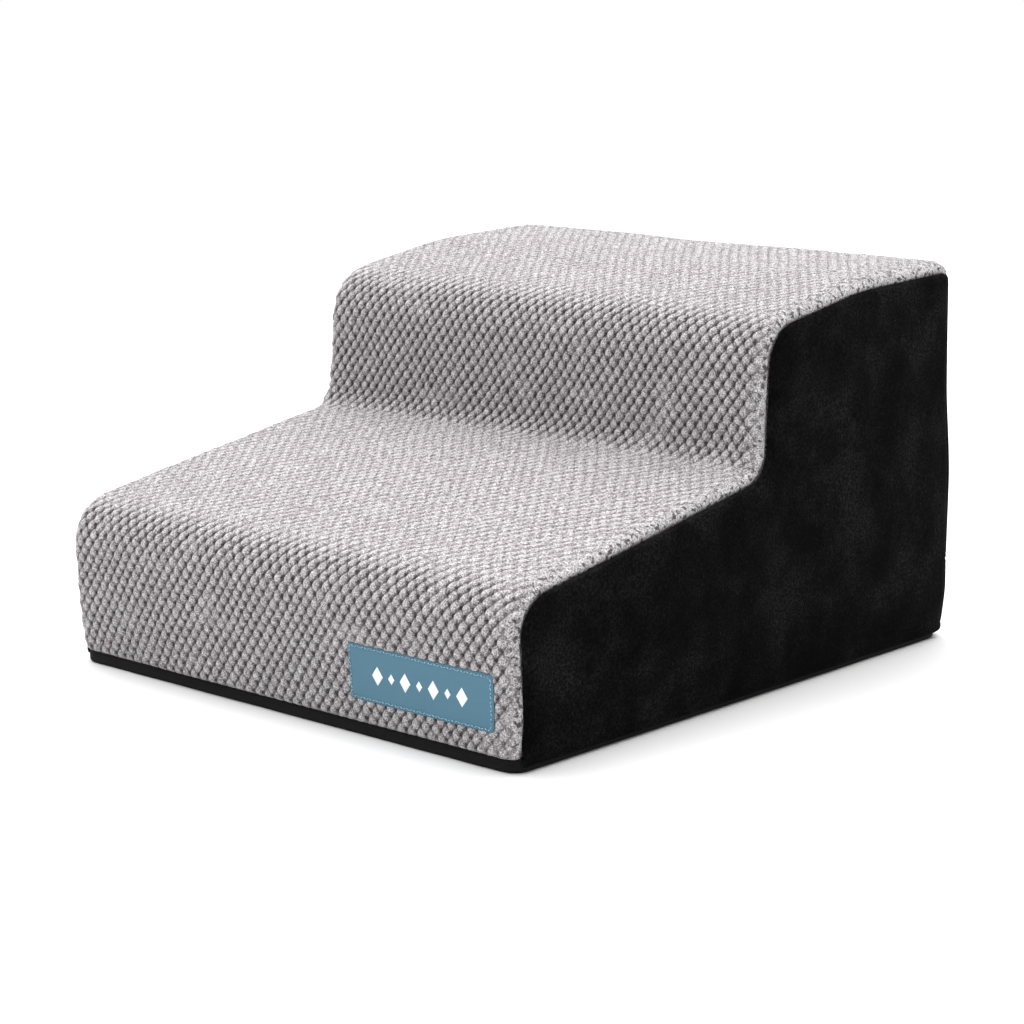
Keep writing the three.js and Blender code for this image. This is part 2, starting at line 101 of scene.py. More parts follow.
def length_setting(name, description, default, low, high):
    """A length that a user may change, in metres."""
    return FloatProperty(name=name, description=description, default=default, min=low, max=high,
                         unit="LENGTH", subtype="DISTANCE")


def angle_setting(name, description, degrees):
    """An angle that a user may change."""
    return FloatProperty(name=name, description=description, default=math.radians(degrees),
                         unit="ROTATION", subtype="ANGLE")


# ---- Numbers: outlines, noise and meshes ----


def smooth(low, high, value):
    """Rises from 0 at low to 1 at high, with a level start and end: 3t squared less 2t cubed."""
    t = np.clip((value - low) / (high - low), 0, 1)
    return t * t * (3 - 2 * t)


def value_noise(x, y, cell, seed):
    """Random heights from -1 to 1 on a square grid of that cell, blended smoothly between its points."""
    size = 256
    table = np.random.default_rng(seed).uniform(-1, 1, (size, size))
    gx, gy = np.asarray(x) / cell, np.asarray(y) / cell
    ix, iy = np.floor(gx).astype(int), np.floor(gy).astype(int)
    fx, fy = gx - ix, gy - iy
    fx, fy = fx * fx * (3 - 2 * fx), fy * fy * (3 - 2 * fy)
    low, high = [
        table[ix % size, (iy + j) % size] * (1 - fx) + table[(ix + 1) % size, (iy + j) % size] * fx
        for j in (0, 1)
    ]
    return low * (1 - fy) + high * fy


def inset_corners(corners, distance):
    """Each edge moved inwards by distance; outer radii shrink and inner radii grow by it."""
    at = corners[:, :2]
    into = at - np.roll(at, 1, axis=0)
    into /= np.linalg.norm(into, axis=1)[:, None]
    out = np.roll(into, -1, axis=0)
    turn = into[:, 0] * out[:, 1] - into[:, 1] * out[:, 0]
    inward = np.stack([-into[:, 1] - out[:, 1], into[:, 0] + out[:, 0]], 1)
    inward /= np.linalg.norm(inward, axis=1)[:, None]
    reach = distance / (-inward[:, 0] * into[:, 1] + inward[:, 1] * into[:, 0])
    radius = np.maximum(corners[:, 2] - np.sign(turn) * distance, 0.5 * MM)
    return np.column_stack([at + inward * reach[:, None], radius])


def rounded_corner(before, here, after, radius, count):
    """Points of the arc of that radius that touches both edges at a corner."""
    back, on = before - here, after - here
    back, on = back / np.linalg.norm(back), on / np.linalg.norm(on)
    opening = math.acos(float(np.clip(back @ on, -1, 1)))
    middle = (back + on) / np.linalg.norm(back + on)
    centre = here + middle * radius / math.sin(opening / 2)
    start = here + back * radius / math.tan(opening / 2) - centre
    turn = np.sign(on[0] * back[1] - on[1] * back[0]) * (math.pi - opening)
    angle = np.linspace(0, turn, count)
    cos, sin = np.cos(angle), np.sin(angle)
    return centre + np.stack([start[0] * cos - start[1] * sin, start[0] * sin + start[1] * cos], 1)


def rounded_outline(corners, count=24):
    """All the corners' arcs one after another, as points (y, z)."""
    at = corners[:, :2]
    arcs = [
        rounded_corner(at[i - 1], at[i], at[(i + 1) % len(at)], corners[i, 2], count)
        for i in range(len(at))
    ]
    return np.concatenate(arcs)


def along(points, distance):
    """Points at those distances along a line of points, and the unit direction there."""
    step = np.linalg.norm(np.diff(points, axis=0), axis=1)
    keep = np.concatenate([[True], step > 1e-7])
    points = points[keep]
    length = np.concatenate([[0], np.cumsum(np.linalg.norm(np.diff(points, axis=0), axis=1))])
    place = np.stack([np.interp(distance, length, points[:, k]) for k in range(points.shape[1])], 1)
    reach = 0.8 * MM
    ahead = np.clip(distance + reach, 0, length[-1])
    behind = np.clip(distance - reach, 0, length[-1])
    way = np.stack([
        np.interp(ahead, length, points[:, k]) - np.interp(behind, length, points[:, k])
        for k in range(points.shape[1])
    ], 1)
    return place, way / np.linalg.norm(way, axis=1)[:, None]


def line_length(points):
    """The lengths of a line's steps, added up."""
    return float(np.linalg.norm(np.diff(points, axis=0), axis=1).sum())


def squared_off(wave, power):
    """A sine or cosine raised to a power below 1, its sign kept, so that a circle of it turns boxy."""
    return np.sign(wave) * np.abs(wave) ** power


def curled(u):
    """Angle, x and depth of cloth u across the ramp: level as far as its flat half width, then turned down
    on a quarter circle, so x is flat + edge*sin(angle) and the depth edge*(1 - cos(angle))."""
    flat = SIDE - EDGE
    angle = np.sign(u) * np.maximum(np.abs(u) - flat, 0) / EDGE
    return angle, np.clip(u, -flat, flat) + EDGE * np.sin(angle), EDGE * (1 - np.cos(angle))


def grid_faces(rows, columns, start=0, wrap_rows=False, wrap_columns=False, flip=False):
    """Quads of a grid of points stored row by row, closed round either way if asked."""
    r = np.arange(rows if wrap_rows else rows - 1)
    c = np.arange(columns if wrap_columns else columns - 1)
    r, c = [a.ravel() for a in np.meshgrid(r, c, indexing="ij")]
    r2, c2 = (r + 1) % rows, (c + 1) % columns
    quads = np.stack([r * columns + c, r * columns + c2, r2 * columns + c2, r2 * columns + c], 1)
    return (quads[:, ::-1] if flip else quads) + start


def make_mesh(name, points, faces, shade_smooth=True):
    """A mesh object from whole arrays of points and faces; faces may be several arrays or lists."""
    blocks = faces if isinstance(faces, list) else [faces]
    flat = [np.asarray(b, np.int32) for b in blocks]
    mesh = bpy.data.meshes.new(name)
    corner_ids = np.concatenate([b.ravel() for b in flat])
    counts = np.concatenate([np.full(b.shape[0], b.shape[1], np.int32) for b in flat])
    mesh.vertices.add(len(points))
    mesh.vertices.foreach_set("co", np.asarray(points, np.float32).ravel())
    mesh.loops.add(len(corner_ids))
    mesh.loops.foreach_set("vertex_index", corner_ids)
    mesh.polygons.add(len(counts))
    mesh.polygons.foreach_set("loop_start", np.concatenate([[0], np.cumsum(counts)[:-1]]).astype(np.int32))
    mesh.polygons.foreach_set("loop_total", counts)
    mesh.polygons.foreach_set("use_smooth", np.full(len(counts), shade_smooth))
    mesh.update(calc_edges=True)
    mesh.validate()
    obj = bpy.data.objects.new(name, mesh)
    bpy.context.scene.collection.objects.link(obj)
    return obj


def add_attribute(obj, name, values):
    """A number on each point of a mesh, for its material to read."""
    attribute = obj.data.attributes.new(name, "FLOAT", "POINT")
    attribute.data.foreach_set("value", np.asarray(values, np.float32).ravel())


def face_outwards(obj):
    """Turns the faces of a closed mesh outwards by the sign of its volume."""
    mesh = obj.data
    mesh.calc_loop_triangles()
    points = np.zeros(len(mesh.vertices) * 3)
    mesh.vertices.foreach_get("co", points)
    points = points.reshape(-1, 3)
    triangles = np.zeros(len(mesh.loop_triangles) * 3, np.int32)
    mesh.loop_triangles.foreach_get("vertices", triangles)
    a, b, c = (points[triangles.reshape(-1, 3)[:, k]] for k in range(3))
    if np.einsum("ij,ij->i", a, np.cross(b, c)).sum() < 0:
        mesh.flip_normals()


def face_towards(obj, direction):
    """Turns the faces of an open sheet so that they look that way on the whole."""
    total = sum((face.normal * face.area for face in obj.data.polygons), Vector())
    if total.dot(Vector(direction)) < 0:
        obj.data.flip_normals()


def swept_tube(path, across, upward, section, closed=False):
    """A section (two columns) carried along a path: each point is path + across*u + upward*v.

    An open tube has a flat cap at each end; a closed one joins up with itself."""
    rows, columns = len(path), len(section)
    across, upward = np.broadcast_to(across, path.shape), np.broadcast_to(upward, path.shape)
    points = (
        path[:, None]
        + across[:, None] * section[None, :, :1]
        + upward[:, None] * section[None, :, 1:]
    )
    faces = [grid_faces(rows, columns, wrap_rows=closed, wrap_columns=True)]
    if not closed:
        faces += [np.arange(columns)[None, ::-1], (np.arange(columns) + (rows - 1) * columns)[None]]
    return points.reshape(-1, 3), faces


def repeat_shape(points, faces, centres, across, upward):
    """Copies of one small shape, each turned so that its x runs along across and its z along upward."""
    across, upward = np.broadcast_to(across, centres.shape), np.broadcast_to(upward, centres.shape)
    outward = np.cross(upward, across)
    placed = (
        centres[:, None]
        + across[:, None] * points[None, :, 0:1]
        + outward[:, None] * points[None, :, 1:2]
        + upward[:, None] * points[None, :, 2:3]
    )
    shift = (np.arange(len(centres)) * len(points))[:, None, None]
    copies = [(f[None] + shift).reshape(-1, f.shape[1]) for f in faces]
    return placed.reshape(-1, 3), copies


def pod(length, width, height, around=6, along_count=5, power=2.0):
    """A closed bead along x: half width and height fall as the ends are reached, by a superellipse."""
    t = np.linspace(-1, 1, along_count + 2)[1:-1]
    size = (1 - np.abs(t) ** (2 * power)) ** 0.5
    angle = np.linspace(0, 2 * math.pi, around, endpoint=False)
    rings = np.stack([
        np.repeat(t * length / 2, around),
        np.outer(size, np.cos(angle)).ravel() * width / 2,
        np.outer(size, np.sin(angle)).ravel() * height / 2,
    ], 1)
    tips = np.array([(-length / 2, 0, 0), (length / 2, 0, 0)])
    points = np.concatenate([rings, tips])
    first = np.arange(around)
    after = (first + 1) % around
    last = first + (along_count - 1) * around
    tip = along_count * around
    faces = [
        grid_faces(along_count, around, wrap_columns=True, flip=True),
        np.stack([np.full(around, tip), first, after], 1)[:, ::-1],
        np.stack([np.full(around, tip + 1), last, (last // around) * around + after], 1),
    ]
    return points, faces


# ---- Materials ----


def linear(hex_colour, alpha=1.0):
    """An sRGB hex colour as linear red, green, blue and alpha."""
    digits = hex_colour.lstrip("#")
    values = [int(digits[i:i + 2], 16) / 255 for i in (0, 2, 4)]
    return tuple(v / 12.92 if v <= 0.04045 else ((v + 0.055) / 1.055) ** 2.4 for v in values) + (alpha,)


def node(tree, kind, links=None, values=None, stops=(), **settings):
    """Adds a node with its properties, its input values and its links from other nodes' outputs.

    stops are a colour ramp's, each a place and an sRGB hex colour."""
    made = tree.nodes.new(kind)
    for key, value in settings.items():
        setattr(made, key, value)
    for key, value in (values or {}).items():
        made.inputs[key].default_value = value
    for key, source in (links or {}).items():
        tree.links.new(source, made.inputs[key])
    if stops:
        band = made.color_ramp.elements
        while len(band) < len(stops):
            band.new(0.5)
        for element, (place, colour) in zip(band, stops):
            element.position = place
            element.color = linear(colour)
    return made


def new_material(name, colour, roughness, turn=(0, 0, 0), **sockets):
    """A Principled material with constant values on the shader's own sockets.

    Also gives the place that its pattern reads: the piece's own coordinates in metres, turned."""
    made = bpy.data.materials.new(name)
    made.use_nodes = True
    tree = made.node_tree
    shader = tree.nodes["Principled BSDF"]
    shader.inputs["Base Color"].default_value = linear(colour)
    shader.inputs["Roughness"].default_value = roughness
    for key, value in sockets.items():
        shader.inputs[key.replace("_", " ")].default_value = value
    coordinates = node(tree, "ShaderNodeTexCoord")
    mapping = node(tree, "ShaderNodeMapping", {"Vector": coordinates.outputs["Object"]}, {"Rotation": turn})
    return made, tree, shader, mapping.outputs["Vector"]


def dress(tree, shader, colour, heights):
    """Links a colour to the shader, and a chain of bumps, each a height with its strength and distance."""
    tree.links.new(colour, shader.inputs["Base Color"])
    below = {}
    for height, strength, distance in heights:
        bump = node(tree, "ShaderNodeBump", {"Height": height, **below},
                    {"Strength": strength, "Distance": distance})
        below = {"Normal": bump.outputs["Normal"]}
    tree.links.new(below["Normal"], shader.inputs["Normal"])


def layered_colour(tree, heights, layers):
    """Patterns laid over each other as colours; a layer is a height's name, how it mixes and its stops."""
    colour = None
    for name, way, stops in layers:
        layer = node(tree, "ShaderNodeValToRGB", {"Fac": heights[name]}, stops=stops).outputs["Color"]
        if colour is None:
            colour = layer
        else:
            mix = node(tree, "ShaderNodeMix", {6: colour, 7: layer}, {"Factor": 1.0},
                       data_type="RGBA", blend_type=way)
            colour = mix.outputs[2]
    return colour


# How dark the knit's painted shade is at a point, worked out node by node: a value's name, what makes it,
# and from what.
# s and t are a bump's own diagonals, each from -0.5 to 0.5 and 0 where two bumps meet. An egg-shaped
# hole lies at each corner, a deep crease along s and a shallow rib along t. By a seam the stitches are
# squeezed, so there the holes are small and lie at random. The holes, creases and ribs get painted shade,
# and the last steps paint a shade across each bump, lighter at one edge and darker at the other, as if lit
# from one side.
KNIT_STEPS = (
    ("turn_s", "FRACT", "knit_s"),
    ("turn_t", "FRACT", "knit_t"),
    ("s", "SUBTRACT", "turn_s", 0.5),
    ("t", "SUBTRACT", "turn_t", 0.5),
    ("ply", "ADD", "plies", -0.5),
    ("blur", "MULTIPLY", "ply", 0.9),
    ("slight_blur", "MULTIPLY", "blur", 0.3),
    ("sum", "ADD", "s", "t"),
    ("sideways", "MULTIPLY", "sum", 1.2),
    ("upright", "SUBTRACT", "t", "s"),
    ("sideways_squared", "MULTIPLY", "sideways", "sideways"),
    ("upright_squared", "MULTIPLY", "upright", "upright"),
    ("squares", "ADD", "sideways_squared", "upright_squared"),
    ("from_corner", "SQRT", "squares"),
    ("droop", "MULTIPLY", "upright", 0.3),
    ("oval", "SUBTRACT", "from_corner", "droop"),
    ("egg", "ADD", "oval", "blur"),
    ("hole", "RANGE", "egg", 0.5, 0.12, 1.0),
    ("off_s", "ABSOLUTE", "s"),
    ("crease_at", "ADD", "off_s", "slight_blur"),
    ("crease", "RANGE", "crease_at", 0.15, 0.0, 0.62),
    ("off_t", "ABSOLUTE", "t"),
    ("rib_at", "ADD", "off_t", "slight_blur"),
    ("rib", "RANGE", "rib_at", 0.12, 0.0, 0.34),
    ("groove", "MAXIMUM", "crease", "rib"),
    ("gap", "MAXIMUM", "hole", "groove"),
    ("knit_gap", "MULTIPLY", "gap", "knit_share"),
    ("pinch", "RANGE", "crowd", 0.47, 0.34, 1.0),
    ("seam_share", "SUBTRACT", 1.0, "knit_share"),
    ("seam_gap", "MULTIPLY", "pinch", "seam_share"),
    ("open", "MAXIMUM", "knit_gap", "seam_gap"),
    ("lap_shade_count", "ADD", "knit_t", 0.5),
    ("lap_shade_turn", "FRACT", "lap_shade_count"),
    ("lap", "MULTIPLY", "lap_shade_turn", "knit_share"),
)


def plush_material():
    """Polyester chenille knitted in a popcorn stitch. Its fine pile breaks light up, so each bump is a soft
    grey tile with salt-and-pepper tips. Shade is painted into its colour: darker in the valleys, holes and
    creases between bumps, and from one edge of each bump to the other."""
    made, tree, shader, place = new_material(
        "chenille_popcorn_knit", "#a7a4a6", 0.95, Sheen_Weight=0.12, Sheen_Roughness=0.6,
        Sheen_Tint=linear("#f2f0f2"), Specular_IOR_Level=0.15)
    # Pile tufts are 0.6 mm across; drawn at 1 mm, the finest that shows. Yarn plies run on for 2.4 mm.
    noises = {"tufts": (1.0 * MM, 3.0, 0.85), "plies": (2.4 * MM, 2.0, 0.6), "crowd": (3.4 * MM, 1.0, 0.5)}
    known = {
        name: node(tree, "ShaderNodeTexNoise", {"Vector": place},
                   {"Scale": 1 / size, "Detail": detail, "Roughness": rough}).outputs["Fac"]
        for name, (size, detail, rough) in noises.items()
    }
    for name in ("relief", "knit_share", "knit_s", "knit_t"):
        known[name] = node(tree, "ShaderNodeAttribute", attribute_name=name).outputs["Fac"]
    for name, kind, *terms in KNIT_STEPS:
        if kind == "RANGE":
            source, low, high, top = terms
            step = node(tree, "ShaderNodeMapRange", {"Value": known[source]},
                        {"From Min": low, "From Max": high, "To Max": top}, interpolation_type="SMOOTHSTEP")
        else:
            step = node(tree, "ShaderNodeMath",
                        {i: known[term] for i, term in enumerate(terms) if isinstance(term, str)},
                        {i: term for i, term in enumerate(terms) if not isinstance(term, str)},
                        operation=kind)
        known[name] = step.outputs[0]
    colour = layered_colour(tree, known, (
        ("tufts", None, ((0.40, "#736f71"), (0.47, "#999597"), (0.53, "#bcb9ba"), (0.61, "#e4e2e3"))),
        # Painted shade: darker down in the knit's valleys and along the sunk seam edges, as the relief
        # attribute gives.
        ("relief", "MULTIPLY", ((0.0, "#aeabad"), (0.35, "#cfcdce"), (0.7, "#f0efef"), (1.0, "#ffffff"))),
        # Painted shade: darker in the holes, creases and ribs between bumps, and in the squeezed stitches by
        # the seams.
        ("open", "MULTIPLY", ((0.0, "#ffffff"), (0.5, "#cdcacc"), (1.0, "#767375"))),
        # Painted shade across each bump, lighter at one edge and darker at the other, as if lit from one
        # side.
        ("lap", "MULTIPLY", ((0.0, "#ffffff"), (0.5, "#f4f3f3"), (1.0, "#d2d0d1"))),
    ))
    dress(tree, shader, colour, [
        (known["open"], 0.8, -1.2 * MM),
        (known["plies"], 0.7, 0.9 * MM),
        (known["tufts"], 0.9, 0.8 * MM),
    ])
    return made


def suede_material():
    """Knitted polyester microsuede, brushed so that its nap stands up. It is close to black, with cloudy
    patches where the nap lies another way, and a few stray light fibres."""
    made, tree, shader, place = new_material(
        "brushed_microsuede", "#0f0f10", 0.92, Sheen_Weight=0.012, Sheen_Roughness=0.45,
        Sheen_Tint=linear("#8b8d92"), Specular_IOR_Level=0.03)
    slanted = node(tree, "ShaderNodeMapping", {"Vector": place},
                   {"Rotation": (0.6, 0.3, 0.2), "Scale": (1, 1, 0.4)}).outputs["Vector"]
    # Brushed patches are 40 mm across. Nap fibres are 0.05 mm thick; they stand in tufts of 1.6 mm, the
    # finest that shows. Loose fibres catch the light every centimetre or so.
    noises = {
        "cloud": (place, 40 * MM, 3.0, 0.55, 0.3),
        "nap": (place, 1.6 * MM, 3.0, 0.8, 0.0),
        "loose": (slanted, 0.9 * MM, 1.0, 0.5, 0.0),
    }
    heights = {
        name: node(tree, "ShaderNodeTexNoise", {"Vector": source}, {
            "Scale": 1 / size, "Detail": detail, "Roughness": rough, "Distortion": swirl}).outputs["Fac"]
        for name, (source, size, detail, rough, swirl) in noises.items()
    }
    colour = layered_colour(tree, heights, (
        ("cloud", None, ((0.36, "#0b0b0b"), (0.5, "#141414"), (0.64, "#1f1f1f"))),
        ("nap", "MULTIPLY", ((0.40, "#606060"), (0.5, "#acacac"), (0.62, "#ffffff"))),
        ("loose", "ADD", ((0.69, "#000000"), (0.79, "#202021"))),
    ))
    dress(tree, shader, colour, [(heights["cloud"], 0.35, 1.5 * MM), (heights["nap"], 0.5, 0.25 * MM)])
    return made


def woven_material(name, colours, thread, roughness, turn=(0, 0, 0), strength=0.5):
    """Plain weave: two sets of thread ridges at right angles, one showing where the other dips.

    colours are the painted shade in the gaps, the thread and the painted highlight on its lit crown; thread
    is the spacing in metres."""
    made, tree, shader, place = new_material(name, colours[1], roughness, turn, Specular_IOR_Level=0.25)
    waves = [
        node(tree, "ShaderNodeTexWave", {"Vector": place},
             {"Scale": math.pi / (20 * thread), "Distortion": 0.4, "Detail": 1.0, "Detail Scale": 3.0},
             bands_direction=way).outputs["Fac"]
        for way in ("X", "Z")
    ]
    both = node(tree, "ShaderNodeMath", dict(enumerate(waves)), operation="MULTIPLY").outputs["Value"]
    colour = node(tree, "ShaderNodeValToRGB", {"Fac": both}, stops=tuple(zip((0.0, 0.35, 1.0), colours)))
    dress(tree, shader, colour.outputs["Color"], [(both, strength, 0.3 * MM)])
    return made


def foam_material(name, colours, cell):
    """Cut open-cell polyurethane foam: a matte skin of burst cells, pale, with painted shade in its darker
    pores.
    """
    made, tree, shader, place = new_material(name, colours[1], 0.95)
    cells = node(tree, "ShaderNodeTexVoronoi", {"Vector": place}, {"Scale": 1 / cell}).outputs["Distance"]
    colour = node(tree, "ShaderNodeValToRGB", {"Fac": cells}, stops=tuple(zip((0.0, 0.45), colours)))
    dress(tree, shader, colour.outputs["Color"], [(cells, 0.6, 0.4 * MM)])
    return made


def moulded_material(name, colour, worn, roughness, metallic=0.0, grain=0.6 * MM):
    """A hard, smooth surface with faint handling marks: mottled roughness and slightly lighter spots."""
    made, tree, shader, place = new_material(name, colour, roughness, Metallic=metallic)
    marks = node(tree, "ShaderNodeTexNoise", {"Vector": place},
                 {"Scale": 1 / grain, "Detail": 3.0, "Roughness": 0.6}).outputs["Fac"]
    tint = node(tree, "ShaderNodeValToRGB", {"Fac": marks}, stops=((0.45, colour), (0.8, worn)))
    gloss = node(tree, "ShaderNodeMapRange", {"Value": marks},
                 {"To Min": roughness - 0.08, "To Max": roughness + 0.15})
    tree.links.new(gloss.outputs["Result"], shader.inputs["Roughness"])
    dress(tree, shader, tint.outputs["Color"], [(marks, 0.08, 0.1 * MM)])
    return made


def thread_material(name, dark, light):
    """Twisted polyester sewing thread: light strands with painted shade between them, on a 0.5 mm twist."""
    made, tree, shader, place = new_material(name, light, 0.6, (0, math.radians(35), 0))
    twist = node(tree, "ShaderNodeTexWave", {"Vector": place},
                 {"Scale": 1 / (0.5 * MM) / 6.3, "Distortion": 1.0}).outputs["Fac"]
    colour = node(tree, "ShaderNodeValToRGB", {"Fac": twist}, stops=((0.0, dark), (0.6, light)))
    dress(tree, shader, colour.outputs["Color"], [(twist, 0.4, 0.1 * MM)])
    return made


UPWARD_TURN = (math.radians(90), 0, 0)
BIAS_TURN = (0, math.radians(45), 0)
MAKERS = {
    "plush": (plush_material,),
    "suede": (suede_material,),
    "binding": (woven_material, "grosgrain_binding", ("#050505", "#0a0a0b", "#131315"), 0.9 * MM, 0.9),
    "grip": (woven_material, "bottom_cloth", ("#0b0b0c", "#1b1b1e", "#2c2c30"), 1.0 * MM, 0.85, UPWARD_TURN),
    "rubber": (moulded_material, "printed_rubber_dot", "#232326", "#34343a", 0.6),
    "tape": (woven_material, "zip_tape_herringbone", ("#070708", "#131315", "#232327"), 0.8 * MM, 0.8,
             BIAS_TURN),
    "nylon": (moulded_material, "drawn_nylon_coil", "#101012", "#1c1c20", 0.38),
    "zinc": (moulded_material, "lacquered_zinc", "#17171a", "#2c2c31", 0.32, 0.6),
    "label": (woven_material, "damask_label", ("#40677a", "#4d7284", "#5f8394"), 0.45 * MM, 0.6, BIAS_TURN,
              0.2),
    "label_thread": (thread_material, "label_thread", "#54869b", "#a3c3cf"),
    "motif": (thread_material, "motif_thread", "#bfc7ca", "#f4f5f5"),
    "black_thread": (thread_material, "seam_thread", "#0c0c0e", "#26262a"),
    "satin": (woven_material, "care_label_satin", ("#8d8c89", "#a9a8a5", "#bdbcb9"), 0.6 * MM, 0.45),
    "foam": (foam_material, "cut_support_foam", ("#b9b3a0", "#dcd7c8"), 1.6 * MM),
    "memory": (foam_material, "cut_memory_foam", ("#8fa0ab", "#bccad3"), 1.1 * MM),
}
MATERIALS = {}


def material(finish):
    """Each finish is made once, the first time that a piece asks for it."""
    if finish not in MATERIALS:
        maker, *numbers = MAKERS[finish]
        MATERIALS[finish] = maker(*numbers)
    return MATERIALS[finish]


def finish_piece(obj, finish, body="ramp", nodes=()):
    """Gives a piece its material and slot, ties it to its body and hides the CAD nodes that it stands for.
    """
    obj.data.materials.clear()
    obj.data.materials.append(material(finish))
    if nodes:
        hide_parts(*nodes)
    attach(obj, body)
    return obj


def closed_piece(name, points, faces, finish, nodes=()):
    """A piece made from a closed surface, its faces turned outwards."""
    obj = make_mesh(name, points, faces)
    face_outwards(obj)
    return finish_piece(obj, finish, nodes=nodes)


# ---- Tread cover ----


def tread_line():
    """The side view's line from the front hem over both treads to the seam at the back edge."""
    count = 40
    turned = int(round(BACK_CURL / (math.pi / 2) * count))
    # Four whole arcs, the nose, fillet, upper nose and crown, and a part of the back corner's.
    ordered = rounded_outline(OUTLINE, count)[::-1][: count * 4 + turned]
    low = HEM - 2.5 * MM
    foot = np.array([[FRONT + LEAN * (1 - low / NOSE_Z), low]])
    return np.concatenate([foot, ordered])


UNDERSIDE = -5.2 * MM  # the plush and its wadding are this thick


def knit_lattice(u, v, pitch, row, seed):
    """Counts of bumps across and of double rows along, drifting a little as a soft knit does."""
    drift_u = 0.24 * value_noise(u, v, 62 * MM, seed) + 0.08 * value_noise(u, v, 21 * MM, seed + 1)
    drift_v = 0.16 * value_noise(u, v, 70 * MM, seed + 2) + 0.05 * value_noise(u, v, 19 * MM, seed + 3)
    return u / pitch + drift_u, v / (2 * row) + drift_v


def popcorn(p, q, pitch, row, seed):
    """Height from 0 to 1 of a popcorn knit whose bumps stand at whole and at half counts (p, q).

    0.4 of it is a ball on each jittered bump: the root of 1 less its distance squared over its reach
    squared, creased where two bumps meet. 0.6 is a cobble that fills its diamond between the diagonals
    s = p - q and t = p + q: with s and t wrapped to -1..1 about a bump, (1 - |s|^3)^0.5 deep along one
    diagonal and half as deep along the other."""
    table = np.random.default_rng(seed + 4).uniform(-1, 1, (3, 128, 128))
    nearest = np.full(p.shape, 9.0)
    second = np.full(p.shape, 9.0)
    lift = np.zeros(p.shape)
    for half, i, j in itertools.product((0.0, 0.5), (0, 1), (0, 1)):
        ci, cj = np.floor(p - half) + i, np.floor(q - half) + j
        ti, tj = [(2 * (count + half)).astype(int) % 128 for count in (ci, cj)]
        du = (p - half - ci - 0.06 * table[0, ti, tj]) * pitch
        dv = (q - half - cj - 0.04 * table[1, ti, tj]) * 2 * row
        far = np.hypot(du, dv)
        closer = far < nearest
        second = np.where(closer, nearest, np.minimum(second, far))
        lift = np.where(closer, table[2, ti, tj], lift)
        nearest = np.where(closer, far, nearest)
    reach = 0.57 * pitch
    ball = np.sqrt(np.clip(1 - (nearest / reach) ** 2, 0, 1))
    crease = np.exp(-(second - nearest) / (0.10 * pitch))
    ball = np.clip(ball * (1 + 0.12 * lift) - 0.22 * crease, 0, 1.15)
    s = np.abs((p - q + 0.5) % 1 - 0.5) * 2
    t = np.abs((p + q + 0.5) % 1 - 0.5) * 2
    cobble = np.sqrt(1 - s**3) * (1 - 0.55 * (1 - np.sqrt(1 - t**3)))
    return 0.4 * ball + 0.6 * cobble


def rounded_foot(points):
    """Near the floor the upright edges turn from sharp to round: nested squares become nested circles.

    A point at (a, b) past the corner's centre moves to (a, b) times 1 + w (max(a, b) / hypot(a, b) - 1),
    where w is 1 less a quarter circle: it is 1 at 3 mm over the floor and 0 from 14 mm up."""
    low = np.clip((14 * MM - points[..., 2]) / (11 * MM), 0, 1)
    for way, face, radius in ((1, BACK, 20 * MM), (-1, FRONT, 14 * MM)):
        a = np.abs(points[..., 0]) - (SIDE - radius)
        b = (points[..., 1] - face) * way + radius
        inside = (a > 0) & (b > 0)
        a, b = np.where(inside, a, 1.0), np.where(inside, b, 1.0)
        weight = np.where(inside, 1 - np.sqrt(1 - low**2), 0)
        shrink = weight * (np.maximum(a, b) / np.hypot(a, b) - 1)
        points[..., 0] += np.sign(points[..., 0]) * a * shrink
        points[..., 1] += way * b * shrink


def settled(points):
    """The filled body is a little full below the lower nose and a little slim at the top."""
    points = np.array(points)
    z = points[..., 2]
    rounded_foot(points)
    full = 0.017 * smooth(2 * MM, 40 * MM, z) * (1 - smooth(110 * MM, 180 * MM, z))
    slim = 0.009 * smooth(140 * MM, 250 * MM, z)
    points[..., 0] *= 1 + full - slim
    return points


def label_cover(x, z):
    """1 under the front label, falling to 0 a few millimetres outside its edge."""
    mid = (LABEL_LOW + LABEL_HIGH) / 2
    half = (LABEL_HIGH - LABEL_LOW) / 2
    beyond = np.maximum(np.abs(x - mid.x) - half.x, np.abs(z - mid.z) - half.z)
    return 1 - smooth(-1.5 * MM, 1.0 * MM, beyond)


def edge_sink(distance, depth, width):
    """How far a fabric sinks where it is sewn: depth at the seam, falling away over width."""
    return depth * np.exp(-np.maximum(distance, 0) / width)


class RAMP_PG_cover(bpy.types.PropertyGroup):
    """Sizes of the cover's fabrics."""

    pitch: length_setting("Bump pitch", "Distance between bumps across the ramp", 8.4 * MM, 4 * MM, 20 * MM)
    row: length_setting("Row spacing", "Distance between rows of bumps along the tread",
                        5.65 * MM, 3 * MM, 15 * MM)
    relief: length_setting("Bump height", "From the knit's ground to a bump's top",
                           3.0 * MM, 0.5 * MM, 6 * MM)
    spacing: length_setting("Mesh spacing", "Distance between points of the tread's mesh",
                            1.2 * MM, 0.8 * MM, 5 * MM)
    crown: length_setting("Crown", "How far the foam pushes the panels out in the middle",
                          1.6 * MM, 0.0, 6 * MM)
    suede_thick: length_setting("Suede thickness", "Thickness of side and back panels",
                                1.0 * MM, 0.4 * MM, 3 * MM)


